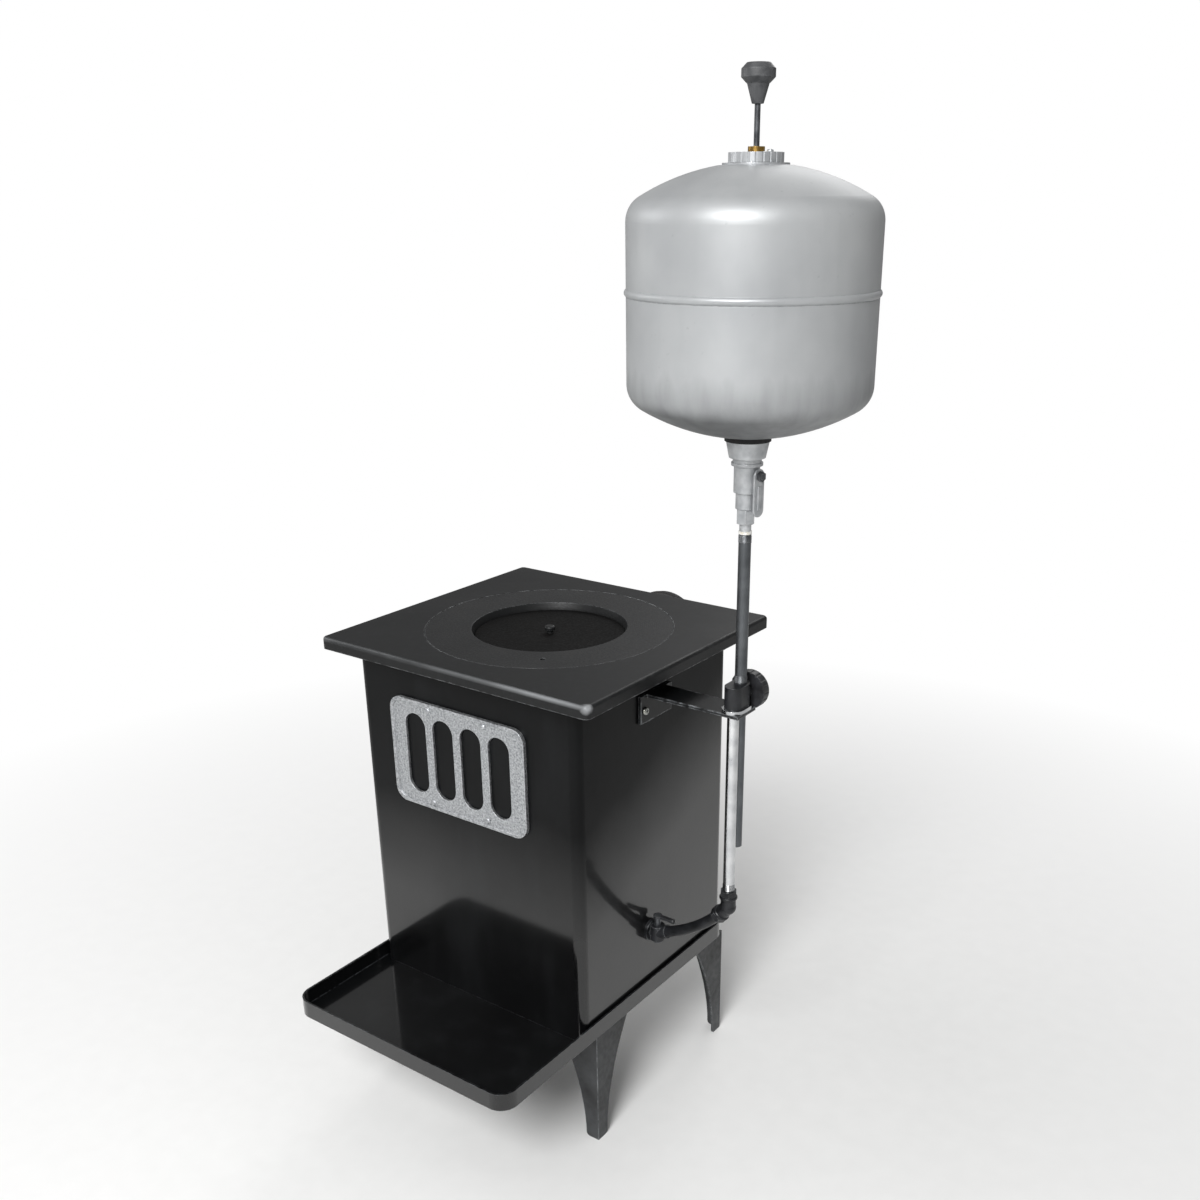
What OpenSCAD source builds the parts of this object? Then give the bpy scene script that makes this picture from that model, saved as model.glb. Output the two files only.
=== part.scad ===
// Diesel stove: a black sheet steel box on four pressed legs, with a hearth tray,
// a hob with a ring and a lid, and a round fuel tank that stands on its feed pipe.
// Millimetres, +Z up, the front faces -Y. The origin is the middle of the whole
// box at floor level. The stove's own axis goes through the hob.

/* [Stove] */
// Height of the top face above the floor
stove_h = 611; // [560:1:660]
// Thickness of the body sheets
sheet_t = 1.5; // [1:0.1:2.5]
// Radius of a bolt or screw shank
screw_r = 2.5; // [2:0.1:3]
// Play between pieces that lift off or turn
play = 0.3; // [0.2:0.05:0.5]
// Play between a shaft and its bush
shaft_play = 0.05; // [0.03:0.01:0.08]

/* [Top plate] */
// How far the top plate reaches past the body's sides
plate_over_x = 34.5; // [24:0.5:50]
// How far the top plate reaches past the body's front and back, on average
plate_over_y = 32.5; // [26:0.5:50]
// Thickness of the top plate
plate_t = 6; // [5:0.5:8]
// Height of the turned-down edge, top face included
edge_h = 15; // [12:1:20]
// Width of the turned-down edge
edge_w = 7; // [6:0.5:9]
// Corner radius seen from above
plate_corner_r = 7; // [6:1:20]
// Radius of the rolled upper edge
roll_r = 4; // [2:0.5:5]

/* [Hob] */
// Outer radius of the hob ring
ring_r = 151; // [135:1:156]
// Width of the seat under the ring
ring_seat_w = 7; // [4:0.5:10]
// Thickness of the ring where it rests on its seat
ring_seat_t = 3; // [2:0.5:3.5]
// Radius of the ring's opening at the top
hob_r = 95; // [80:1:105]
// Radius of the lid
lid_r = 92; // [75:1:93]
// Depth of the lid's face below the ring's face
lid_drop = 9; // [6:0.5:12]
// Thickness of the lid
lid_t = 3; // [2:0.5:5]
// Width of the ledge under the lid
ledge_w = 6; // [4:0.5:10]
// Thickness of the ledge under the lid
ledge_t = 3; // [2:0.5:5]
// Thickness of the wall round the lid
well_t = 5; // [4:0.5:8]
// Radius of the knob on the lid
lid_knob_r = 6.5; // [5:0.5:10]
// Radius of the hole in the ring for a lifter
lifter_r = 3; // [2:0.5:5]

/* [Body] */
// Width of the body
body_w = 331; // [315:1:350]
// Depth of the body, back panel included
body_d = 309; // [300:1:325]
// How far the body stands forward of the middle of the top plate
body_ahead = 8; // [0:1:14]
// Radius of the body's upright bends
bend_r = 12; // [8:1:16]
// Width of the inner flanges
flange_w = 22; // [18:1:28]
// Width of the returns behind the back panel
return_w = 26; // [22:1:32]

/* [Hearth tray] */
// How far the tray stands out past the body's sides
tray_out = 4.5; // [3:0.5:14]
// How far the tray stands out in front of the body
tray_ahead = 150; // [110:1:180]
// How far the tray stands out behind the body
tray_behind = 5; // [4:1:12]
// Height of the tray's rim
rim_h = 22; // [16:1:30]
// Corner radius of the tray
tray_corner_r = 22; // [16:1:30]
// Radius of the air hole under the burner
air_r = 42; // [30:1:48]

/* [Legs] */
// Height of the tray above the floor
leg_h = 160; // [130:1:190]
// Width of a leg's flanges at the top
leg_top_w = 66; // [55:1:75]
// Width of a leg's flanges at the foot
leg_foot_w = 19; // [14:1:26]
// Thickness of a leg
leg_t = 2.5; // [2:0.1:3.5]
// Distance from the tray's front to the front legs
leg_set_back = 175; // [150:1:185]

/* [Flue] */
// Outer radius of the flue collar
flue_r = 55; // [45:1:58]
// Wall of the flue collar
flue_t = 1.2; // [1:0.1:2]
// Length of the flue collar behind the body
flue_len = 112; // [70:1:130]
// Depth of the flue's axis below the top face
flue_drop = 76; // [76:1:90]
// Width of the collar's flange
flue_flange_w = 14; // [12:1:18]

/* [Burner] */
// Outer radius of the burner pot
pot_r = 85; // [75:1:95]
// Height of the burner pot
pot_h = 70; // [60:1:80]
// Wall of the burner pot
pot_t = 5; // [4:0.5:7]
// Height of the burner stand
stand_h = 64; // [56:1:70]
// Radius of the perforated flame sleeve
sleeve_r = 66; // [55:1:68]
// Height of the perforated flame sleeve
sleeve_h = 118; // [95:1:130]
// Radius of an air hole in the sleeve
sleeve_hole_r = 4; // [3:0.5:5]

/* [Feed line] */
// Distance from the body's side to the tank's axis
stand_out = 111.5; // [100:0.5:125]
// How far the tank's axis stands forward of the middle of the top plate
stand_ahead = 9.5; // [0:0.5:30]
// Distance from the tank's pipe to the riser in front of it
pipe_gap = 14; // [14:0.5:20]
// Outer radius of the pipes
pipe_r = 6.75; // [6:0.25:6.75]
// Radius of the pipes' bore
pipe_bore_r = 4.5; // [3:0.25:5]
// Height of the fuel inlet above the floor of the burner pot
inlet_rise = 20.5; // [14:0.5:26]
// Height of the elbow at the foot of the riser above the fuel inlet
elbow_rise = 70; // [64:1:84]
// Half of the bend in the feed pipe, in degrees
feed_bow = 15; // [8:1:20]
// Length of the sediment leg as a share of the riser's length
sediment_share = 0.73; // [0.3:0.01:0.76]
// Height of the upper end of the tank's pipe
stand_top_h = 767; // [720:1:820]

/* [Regulator] */
// Depth of the regulator's flange below the top face
regulator_drop = 37; // [34:1:44]
// Radius of the regulator's hand knob
regulator_knob_r = 22; // [18:1:26]

/* [Valve] */
// Height of the outlet nozzle
nozzle_h = 8; // [6:1:12]
// Height of the valve's lower nut
valve_nut_h = 16; // [12:1:20]
// Height of the valve body
valve_h = 45; // [38:1:52]
// Radius of the valve's neck
valve_neck_r = 11; // [10:0.5:12.5]
// Radius of the valve's head
valve_head_r = 13.5; // [13:0.5:16]
// Length of the valve's lever
lever_len = 35; // [24:1:60]
// Direction that the lever faces, from straight right
lever_turn = -12; // [-60:1:0]
// Height of the tank's outlet socket
outlet_h = 25; // [22:1:30]
// Height of the outlet gasket
gasket_h = 7; // [5:0.5:9]
// Radius of the outlet gasket
gasket_r = 24; // [21:0.5:27]

/* [Tank] */
// Outer radius of the tank
tank_r = 123.5; // [112:0.5:130]
// Wall of the tank
tank_t = 1.2; // [1:0.1:2]
// Length of the tank's straight side
tank_side_h = 151; // [120:1:190]
// Radius of the tank's shoulders
knuckle_r = 26; // [20:1:32]
// Radius of the tank's domed ends
dome_r = 220; // [200:1:240]
// Radius of the rolled bead at the joint
bead_r = 4; // [3:0.5:5]
// Radius of the bore of the filler neck
filler_r = 22; // [20:0.5:24]
// Height of the filler cap
cap_h = 9; // [8:0.5:14]

/* [Level gauge] */
// Radius of the gauge rod
rod_r = 2.8; // [2:0.1:3.5]
// Length of the gauge rod seen above its gland
rod_seen = 36; // [25:1:60]
// Radius of the gauge knob
gauge_knob_r = 16; // [12:0.5:20]
// Height of the gauge knob
gauge_knob_h = 34; // [30:1:44]
// Radius of the float
float_r = 19; // [14:0.5:19.5]
// Height of the float
float_h = 34; // [25:1:45]

/* [Front plaque] */
// Width of the cast plaque
plaque_w = 206; // [150:1:230]
// Height of the cast plaque
plaque_h = 136; // [100:1:140]
// Depth of the plaque's middle below the top face
plaque_drop = 128; // [100:1:200]
// How far the plaque's middle lies left of the body's middle
plaque_left = 9; // [0:1:20]
// Width of the plaque's frame
plaque_frame_w = 17; // [12:1:24]
// Width of the plaque's upright bars
plaque_bar_w = 11; // [6:1:14]
// Thickness of the plaque
plaque_t = 5; // [3:0.5:8]

/* [Hidden] */
$fn = 96;
over = 1;

plate_under = stove_h - plate_t;
plate_w = body_w + 2 * plate_over_x;
plate_d = body_d + 2 * plate_over_y;
body_side = body_w / 2;
body_back = body_d / 2 - body_ahead;
body_front = -body_d / 2 - body_ahead;
shell_d = body_d - sheet_t;
shell_mid = body_front + shell_d / 2;
shell_back = body_back - sheet_t;
panel_in = 7;
tray_w = body_w + 2 * tray_out;
tray_floor = leg_h + sheet_t;
tray_front = body_front - tray_ahead;
tray_back = body_back + tray_behind;
tray_d = tray_back - tray_front;
tray_mid = (tray_back + tray_front) / 2;
flue_z = stove_h - flue_drop;
flue_end = body_back + flue_len;

head_h = 3;
head_r = 5;
head_top_r = 4;
nut_h = 4;
nut_r = 5.3;
rivet_r = 2;
rivet_head_r = 4;
rivet_head_h = 2.5;
rivet_dome_r = 5.2;
plate_screw_deep = 4;

leg_x = body_side;
leg_front_y = tray_front + leg_set_back;
leg_back_in = 2;
leg_back_y = tray_back - leg_back_in;
leg_tab_w = 46;
leg_curve = 2;
leg_steps = 10;
leg_bolt_in = 20;

ring_top_w = ring_r - ring_seat_w - play;
lid_face = stove_h - lid_drop;
ring_h = lid_drop + lid_t + play + ledge_t;
lid_stem_r = 2.5;
lid_knob_neck_r = 4;
lid_knob_neck_h = 4;
lifter_turn = -55;
lifter_place_share = 0.45;

pot_z = tray_floor + stand_h;
pot_inside = pot_z + pot_t;
pot_rim_w = 8;
pot_rim_t = 4;
stand_ring_w = 14;
stand_ring_t = 4;
stand_foot_r = 6;
stand_feet = 3;
sleeve_t = 2;
sleeve_rows = 4;
sleeve_columns = 14;
sleeve_top = pot_inside + play + sleeve_h;
flame_cap_w = 8;
flame_cap_t = 3;
flame_hole_r = 26;
baffle_w = 150;
baffle_h = 150;
baffle_gap = 42;
baffle_t = 2;
baffle_tab_w = 18;

stand_x = body_side + stand_out;
stand_y = -stand_ahead;
riser_y = stand_y - pipe_gap;
pipe_in = 6;
shoulder = 1;
fitting_r = 10;
fitting_out = 11;
fitting_flange_r = 14;
fitting_flange_t = 4;
socket_r = 9;
socket_len = 16;
wall_thread_r = 8;
wall_nut_r = 15;
wall_nut_h = 6;
pot_pipe_r = 5;
pot_pipe_bore_r = 3.5;
inlet_h = pot_inside + inlet_rise;
elbow_h = inlet_h + elbow_rise;
inlet_x = body_side + fitting_out;
feed_slope = atan2(elbow_rise, stand_x - inlet_x);
feed_len = norm([stand_x - inlet_x, elbow_rise]);
feed_start = socket_len - pipe_in;
feed_bend_r = (feed_len / 2 - feed_start * cos(feed_bow)) / sin(feed_bow);
feed_end_turn = 270 - feed_slope - feed_bow;
pipe_nut_r = 10.5;
pipe_nut_h = 7;
elbow_r = 9.5;
cock_r = 4;
cock_bore_r = 2.5;
cock_h = 14.5;
cock_lever_len = 22.5;
cock_lever_w = 6;
cock_lever_t = 3;
cock_tip_r = 3.2;

regulator_top = stove_h - regulator_drop;
regulator_h = 26;
regulator_r = 10.5;
regulator_flange_r = 13;
regulator_flange_t = 4;
passage_r = 3;
passage_rise_share = 0.45;
passage_z = regulator_top + regulator_h * passage_rise_share;
pipe_seat_h = 4;
pipe_socket_h = 7;
riser_len = regulator_top + pipe_seat_h - elbow_h - feed_start;
sediment_len = riser_len * sediment_share;
gland_out = 4;
needle_gland_r = 7;
needle_r = 3;
needle_tip = 5;
regulator_knob_t = 13;
knob_grips = 18;
knob_grip_r = 1.6;
arm_t = 4;
arm_w = 38;
arm_foot_w = 62;
arm_foot_h = 30;
arm_hole_in = 8;
arm_end = regulator_flange_r;

union_h = 3;
union_r = 7;
nozzle_z = stand_top_h + union_h;
nozzle_r = 6.3;
valve_nut_z = nozzle_z + nozzle_h;
valve_nut_r = 10.5;
valve_z = valve_nut_z + valve_nut_h;
valve_head_h = 28;
valve_top = valve_z + valve_h;
stem_drop_share = 0.33;
stem_z = valve_top - valve_head_h * stem_drop_share;
ball_r = 7.5;
stem_r = 3;
tang_t = 1;
stem_collar_h = 2;
stem_out = valve_head_r + stem_collar_h;
lever_w = 15;
lever_t = 2.5;
stem_nut_r = 5.5;
stem_nut_h = 4;
stem_len = stem_out + lever_t + stem_nut_h + shaft_play;
outlet_r = 22.5;
outlet_low_r = 19;
outlet_neck_r = 15;
outlet_neck_h = 8;
outlet_spigot_r = 8;
outlet_lip_r = 16.5;
outlet_lip_h = 3;
outlet_nut_h = 7;
outlet_nut_r = 14;
gasket_z = valve_top + outlet_h;

flat_drop = 3;
dome_h = dome_r - sqrt(pow(dome_r - knuckle_r, 2) - pow(tank_r - knuckle_r, 2));
tank_z = gasket_z + gasket_h;
side_low = tank_z + dome_h - flat_drop;
side_high = side_low + tank_side_h;
tank_top = side_high + dome_h - flat_drop;
joint_share = 0.55;
joint_z = side_low + joint_share * tank_side_h;
joint_lap = 8;
shell_fit = 0.1;
neck_t = 2;
neck_flange_w = 8;
neck_flange_t = 2;
cap_t = 2;
neck_h = cap_h - cap_t - play;
neck_deep = 5;
cap_r = filler_r + neck_t + play + cap_t;
cap_base = tank_top + neck_flange_t;
cap_top = cap_base + cap_h;
cap_grips = 24;
cap_grip_r = 1.2;
gland_r = 8;
gland_h = 5;
gland_top = cap_top + gland_h;
rod_top = gland_top + rod_seen;
rod_in_knob = 12;
knob_foot_r = 5.5;
knob_neck_r = 10.5;
knob_cap_h = 17;
knob_chamfer = 5;
float_z = tank_z + tank_t + outlet_nut_h + play;

plaque_z = stove_h - plaque_drop;
plaque_bars = 4;
plaque_pitch = (plaque_w - 2 * plaque_frame_w) / plaque_bars;
plaque_border_w = 4;
plaque_border_t = 1.5;

// The origin is moved from the stove's axis to the middle of the whole box
stove_x = -(stand_x + tank_r + bead_r / 2 - plate_w / 2) / 2;
stove_y = -(flue_end + tray_front) / 2;

// Placing helpers
module at_stove(x = 0, y = 0, z = 0) {
    translate([stove_x + x, stove_y + y, z])
        children();
}

module at_stand(z = 0) {
    at_stove(stand_x, stand_y, z)
        children();
}

module four_corners(x, y) {
    for (sx = [-1, 1], sy = [-1, 1])
        translate([sx * x, sy * y, 0])
            children();
}

// Plain shapes
module rounded_rect(w, d, r) {
    square([w - 2 * r, d], center = true);
    square([w, d - 2 * r], center = true);
    four_corners(w / 2 - r, d / 2 - r)
        circle(r);
}

module upright_slot(w, h) {
    square([w, h - w], center = true);
    for (s = [-1, 1])
        translate([0, s * (h - w) / 2])
            circle(w / 2);
}

module ring(r, bore, h) {
    difference() {
        cylinder(h = h, r = r);
        translate([0, 0, -over])
            cylinder(h = h + 2 * over, r = bore);
    }
}

module hexagon(r, h) {
    cylinder(h = h, r = r, $fn = 6);
}

// Half outline of a bar whose upper outer edge is rolled
module rolled_outline(w, h, r) {
    square([w - r, h]);
    square([w, h - r]);
    translate([w - r, h - r])
        intersection() {
            circle(r);
            square(r);
        }
}

module rolled_side(length, side, w, h, r) {
    for (s = [0, 1])
        mirror([0, s, 0])
            translate([-length / 2, side, 0])
                rotate([90, 0, 90])
                    linear_extrude(length)
                        rolled_outline(w, h, r);
}

module rolled_slab(w, d, h, corner, r) {
    four_corners(w / 2 - corner, d / 2 - corner)
        rotate_extrude()
            rolled_outline(corner, h, r);
    rolled_side(w - 2 * corner, d / 2 - corner, corner, h, r);
    rotate([0, 0, 90])
        rolled_side(d - 2 * corner, w / 2 - corner, corner, h, r);
    translate([corner - w / 2, corner - d / 2, 0])
        cube([w - 2 * corner, d - 2 * corner, h]);
}

// A screw that points down, with its head's underside at z = 0
module pan_screw(length) {
    cylinder(h = head_h, r1 = head_r, r2 = head_top_r);
    translate([0, 0, -length])
        cylinder(h = length, r = screw_r);
}

module rivet(length) {
    intersection() {
        cylinder(h = rivet_head_h, r = rivet_head_r);
        translate([0, 0, rivet_head_h - rivet_dome_r])
            sphere(rivet_dome_r);
    }
    translate([0, 0, -length])
        cylinder(h = length, r = rivet_r);
}

// Top plate and hob
module plate_screw_places() {
    translate([0, shell_mid, 0])
        four_corners(body_side - sheet_t - flange_w / 2, shell_d / 2 - sheet_t - flange_w / 2)
            children();
}

module top_plate() {
    color("#26272a") at_stove()
        difference() {
            translate([0, 0, stove_h - edge_h])
                rolled_slab(plate_w, plate_d, edge_h, plate_corner_r, roll_r);
            translate([0, 0, stove_h - edge_h - over])
                linear_extrude(edge_h - plate_t + over)
                    rounded_rect(
                        plate_w - 2 * edge_w, plate_d - 2 * edge_w, plate_corner_r - edge_w / 2
                    );
            translate([0, 0, stove_h - ring_seat_t - play])
                cylinder(h = ring_seat_t + play + over, r = ring_r + play);
            translate([0, 0, plate_under - over])
                cylinder(h = plate_t + 2 * over, r = ring_r - ring_seat_w);
            translate([0, 0, plate_under - over])
                plate_screw_places()
                    cylinder(h = plate_screw_deep + over, r = screw_r + shaft_play);
        }
}

module hob_ring() {
    lip = lid_r + play;
    color("#3a3b3e") at_stove(z = stove_h)
        difference() {
            rotate_extrude()
                polygon([
                    [hob_r, 0], [ring_r, 0], [ring_r, -ring_seat_t], [ring_top_w, -ring_seat_t],
                    [ring_top_w, -plate_t], [lip + well_t, -plate_t], [lip + well_t, -ring_h],
                    [lip - ledge_w, -ring_h], [lip - ledge_w, ledge_t - ring_h], [lip, ledge_t - ring_h],
                    [lip, -lid_drop]
                ]);
            rotate([0, 0, lifter_turn])
                translate([hob_r + (ring_r - hob_r) * lifter_place_share, 0, -plate_t - over])
                    cylinder(h = plate_t + 2 * over, r = lifter_r);
        }
}

module hob_lid() {
    color("#1d1e20") at_stove(z = lid_face - lid_t)
        difference() {
            rotate_extrude()
                rolled_outline(lid_r, lid_t, lid_t / 3);
            translate([0, 0, -over])
                cylinder(h = lid_t + 2 * over, r = lid_stem_r + shaft_play);
        }
}

module lid_knob() {
    cap_z = lid_face + lid_knob_neck_h;
    cap_h_here = lid_drop - lid_knob_neck_h;
    color("#c9cbcd") at_stove() {
        translate([0, 0, lid_face - lid_t])
            cylinder(h = lid_t + lid_knob_neck_h, r = lid_stem_r);
        translate([0, 0, lid_face])
            cylinder(h = lid_knob_neck_h, r = lid_knob_neck_r);
        translate([0, 0, cap_z])
            rotate_extrude()
                rolled_outline(lid_knob_r, cap_h_here, cap_h_here / 2);
    }
}

module plate_screws() {
    color("#8c8f92") at_stove(z = plate_under - sheet_t)
        plate_screw_places()
            mirror([0, 0, 1])
                pan_screw(sheet_t + plate_screw_deep - play);
}

// Body
module shell_outline(inset) {
    translate([0, shell_mid])
        rounded_rect(body_w - 2 * inset, shell_d - 2 * inset, bend_r - min(inset, bend_r / 2));
}

module shell_flange(z) {
    translate([0, 0, z])
        linear_extrude(sheet_t)
            difference() {
                shell_outline(sheet_t / 2);
                translate([0, shell_mid])
                    square([
                        body_w - 2 * (sheet_t + flange_w), shell_d - 2 * (sheet_t + flange_w)
                    ], center = true);
            }
}

module back_opening() {
    opening_w = body_w - 2 * return_w;
    translate([-opening_w / 2, shell_back - flange_w - sheet_t, leg_h])
        cube([opening_w, flange_w + 2 * sheet_t, stove_h]);
}

module back_screw_places() {
    rows = 3;
    low = leg_h + rim_h + flange_w / 2;
    span = stove_h - edge_h - flange_w / 2 - low;
    for (s = [-1, 1], i = [0 : rows - 1])
        translate([s * (body_side - (return_w + bend_r) / 2), body_back, low + i * span / (rows - 1)])
            rotate([-90, 0, 0])
                children();
}

module plaque_rivet_places() {
    for (s = [-1, 1], t = [-1, 1])
        translate([
            s * plaque_pitch - plaque_left,
            body_front,
            plaque_z + t * (plaque_h - plaque_frame_w) / 2
        ])
            rotate([90, 0, 0])
                children();
}

module arm_screw_places() {
    for (s = [-1, 1])
        translate([
            body_side,
            (stand_y + riser_y) / 2 + s * (arm_foot_w / 2 - arm_hole_in),
            regulator_top - regulator_flange_t - arm_t - arm_foot_h / 2
        ])
            rotate([0, 90, 0])
                children();
}

module body_shell() {
    color("#17181a") at_stove()
        difference() {
            union() {
                translate([0, 0, tray_floor])
                    linear_extrude(plate_under - tray_floor)
                        difference() {
                            shell_outline(0);
                            shell_outline(sheet_t);
                        }
                shell_flange(tray_floor);
                shell_flange(plate_under - sheet_t);
            }
            back_opening();
            translate([0, 0, plate_under - 2 * sheet_t])
                plate_screw_places()
                    cylinder(h = 3 * sheet_t, r = screw_r + play);
            translate([0, 0, tray_floor - over])
                leg_bolt_places()
                    cylinder(h = sheet_t + 2 * over, r = screw_r + play);
            back_screw_places()
                translate([0, 0, -4 * sheet_t])
                    cylinder(h = 4 * sheet_t, r = screw_r + play);
            plaque_rivet_places()
                translate([0, 0, -2 * sheet_t])
                    cylinder(h = 3 * sheet_t, r = rivet_r + play);
            arm_screw_places()
                translate([0, 0, -2 * sheet_t])
                    cylinder(h = 3 * sheet_t, r = screw_r + play);
            translate([body_side - 2 * sheet_t, riser_y, inlet_h])
                rotate([0, 90, 0])
                    cylinder(h = 3 * sheet_t, r = wall_thread_r + play);
        }
}

module back_panel() {
    color("#1b1c1e") at_stove()
        difference() {
            translate([panel_in - body_side, shell_back, tray_floor])
                cube([body_w - 2 * panel_in, sheet_t, plate_under - tray_floor - play]);
            translate([0, shell_back - over, flue_z])
                rotate([-90, 0, 0])
                    cylinder(h = sheet_t + 2 * over, r = flue_r - flue_t);
            back_screw_places()
                translate([0, 0, -2 * sheet_t])
                    cylinder(h = 3 * sheet_t, r = screw_r + play);
            flue_rivet_places()
                translate([0, 0, -2 * sheet_t])
                    cylinder(h = 3 * sheet_t, r = rivet_r + play);
            baffle_rivet_places()
                translate([0, 0, -2 * sheet_t])
                    cylinder(h = 3 * sheet_t, r = rivet_r + play);
        }
}

module back_panel_screws() {
    color("#8c8f92") at_stove()
        back_screw_places()
            pan_screw(3 * sheet_t);
}

// Hearth tray and legs
module tray_outline(inset) {
    translate([0, tray_mid])
        rounded_rect(tray_w - 2 * inset, tray_d - 2 * inset, tray_corner_r - inset);
}

module hearth_tray() {
    bead = sheet_t;
    color("#1c1d1f") at_stove()
        difference() {
            union() {
                translate([0, 0, leg_h])
                    linear_extrude(sheet_t)
                        tray_outline(0);
                translate([0, 0, leg_h])
                    linear_extrude(rim_h)
                        difference() {
                            tray_outline(0);
                            tray_outline(sheet_t);
                        }
                translate([0, 0, leg_h + rim_h - bead])
                    linear_extrude(bead)
                        difference() {
                            tray_outline(0);
                            tray_outline(sheet_t + bead / 2);
                        }
            }
            translate([0, shell_mid, leg_h - over])
                cylinder(h = sheet_t + 2 * over, r = air_r);
            translate([0, 0, leg_h - over])
                leg_bolt_places()
                    cylinder(h = sheet_t + 2 * over, r = screw_r + play);
        }
}

// Place of a leg's arris: side is 1 on the right and -1 on the left, and row is 1
// in front and -1 behind
function leg_y(row) = row > 0 ? leg_front_y : leg_back_y;

module leg_bolt_places() {
    for (side = [-1, 1], row = [-1, 1])
        translate([side * (leg_x - leg_bolt_in), leg_y(row) + row * leg_bolt_in, 0])
            children();
}

// Width of a leg's flange at a share of its height, foot to top
function leg_width(share) = leg_foot_w + (leg_top_w - leg_foot_w) * pow(share, leg_curve);

// One flange of a leg, in the XZ plane, with the arris at x = 0
module leg_flange() {
    round_r = leg_foot_w / 4;
    rotate([90, 0, 0])
        mirror([0, 0, 1])
            linear_extrude(leg_t) {
                difference() {
                    polygon(concat(
                        [[0, 0]],
                        [for (i = [0 : leg_steps]) [leg_width(i / leg_steps), leg_h * i / leg_steps]],
                        [[0, leg_h]]
                    ));
                    translate([leg_foot_w - round_r, -over])
                        square([leg_foot_w, round_r + over]);
                }
                translate([leg_foot_w - round_r, round_r])
                    circle(round_r);
            }
}

module one_leg(side, row) {
    color("#1f2022") at_stove(side * leg_x, leg_y(row))
        mirror([side > 0 ? 1 : 0, 0, 0])
            mirror([0, row > 0 ? 0 : 1, 0])
                difference() {
                    union() {
                        leg_flange();
                        mirror([1, -1, 0])
                            leg_flange();
                        translate([0, 0, leg_h - leg_t])
                            cube([leg_tab_w, leg_tab_w, leg_t]);
                    }
                    translate([leg_bolt_in, leg_bolt_in, leg_h - leg_t - over])
                        cylinder(h = leg_t + 2 * over, r = screw_r + play);
                }
}

module leg_bolts() {
    color("#8c8f92") at_stove(z = tray_floor + sheet_t)
        leg_bolt_places() {
            hexagon(head_r, head_h);
            translate([0, 0, -2 * sheet_t - leg_t - nut_h])
                cylinder(h = 2 * sheet_t + leg_t + nut_h, r = screw_r);
        }
}

module leg_nuts() {
    color("#8c8f92") at_stove(z = leg_h - leg_t - nut_h)
        leg_bolt_places()
            difference() {
                hexagon(nut_r, nut_h);
                translate([0, 0, -over])
                    cylinder(h = nut_h + 2 * over, r = screw_r + shaft_play);
            }
}

// Flue
module flue_rivet_places() {
    for (a = [45 : 90 : 315])
        translate([
            (flue_r + flue_flange_w / 2) * cos(a),
            body_back + flue_t,
            flue_z + (flue_r + flue_flange_w / 2) * sin(a)
        ])
            rotate([-90, 0, 0])
                children();
}

module flue_collar() {
    color("#232427") at_stove(0, body_back, flue_z)
        rotate([-90, 0, 0])
            difference() {
                union() {
                    cylinder(h = flue_len, r = flue_r);
                    intersection() {
                        cylinder(h = flue_t, r = flue_r + flue_flange_w);
                        translate([-plate_w / 2, -(flue_drop - edge_h - play), 0])
                            cube([plate_w, plate_w, flue_t]);
                    }
                }
                translate([0, 0, -over])
                    cylinder(h = flue_len + 2 * over, r = flue_r - flue_t);
                at_flue_rivets()
                    cylinder(h = 4 * flue_t, r = rivet_r + play, center = true);
            }
}

module at_flue_rivets() {
    for (a = [45 : 90 : 315])
        rotate([0, 0, a])
            translate([flue_r + flue_flange_w / 2, 0, 0])
                children();
}

module flue_rivets() {
    color("#5c5f63") at_stove()
        union() {
            flue_rivet_places()
                rivet(flue_t + sheet_t);
            baffle_rivet_places()
                rivet(sheet_t + baffle_t);
        }
}

module baffle_rivet_places() {
    for (s = [-1, 1])
        translate([s * (baffle_w / 2 + baffle_tab_w / 2), body_back, flue_z - flue_r])
            rotate([-90, 0, 0])
                children();
}

module flue_baffle() {
    front = shell_back - baffle_gap;
    color("#303236") at_stove()
        difference() {
            union() {
                translate([-baffle_w / 2, front, flue_z - flue_r - baffle_h / 2])
                    cube([baffle_w, baffle_t, baffle_h]);
                for (s = [0, 1])
                    mirror([s, 0, 0])
                        translate([baffle_w / 2 - baffle_t, front, flue_z - flue_r - baffle_tab_w / 2]) {
                            cube([baffle_t, baffle_gap, baffle_tab_w]);
                            translate([0, baffle_gap - baffle_t, 0])
                                cube([baffle_tab_w + baffle_t, baffle_t, baffle_tab_w]);
                        }
            }
            baffle_rivet_places()
                translate([0, 0, -baffle_gap / 2])
                    cylinder(h = baffle_gap, r = rivet_r + play);
        }
}

// Front plaque
module plaque_outline(inset) {
    translate([-plaque_left, plaque_z])
        rounded_rect(plaque_w - 2 * inset, plaque_h - 2 * inset, plaque_frame_w - inset / 2);
}

module front_plaque() {
    slot_w = plaque_pitch - plaque_bar_w;
    first_slot = -(plaque_bars - 1) * plaque_pitch / 2 - plaque_left;
    color("#a8abad") at_stove(0, body_front)
        rotate([90, 0, 0])
            difference() {
                union() {
                    linear_extrude(plaque_t - plaque_border_t)
                        plaque_outline(0);
                    linear_extrude(plaque_t)
                        difference() {
                            plaque_outline(0);
                            plaque_outline(plaque_border_w);
                        }
                }
                for (i = [0 : plaque_bars - 1])
                    translate([first_slot + i * plaque_pitch, plaque_z, -over])
                        linear_extrude(plaque_t + 2 * over)
                            upright_slot(slot_w, plaque_h - 2 * plaque_frame_w);
                at_plaque_rivets()
                    translate([0, 0, -over])
                        cylinder(h = plaque_t + 2 * over, r = rivet_r + play);
            }
}

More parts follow.
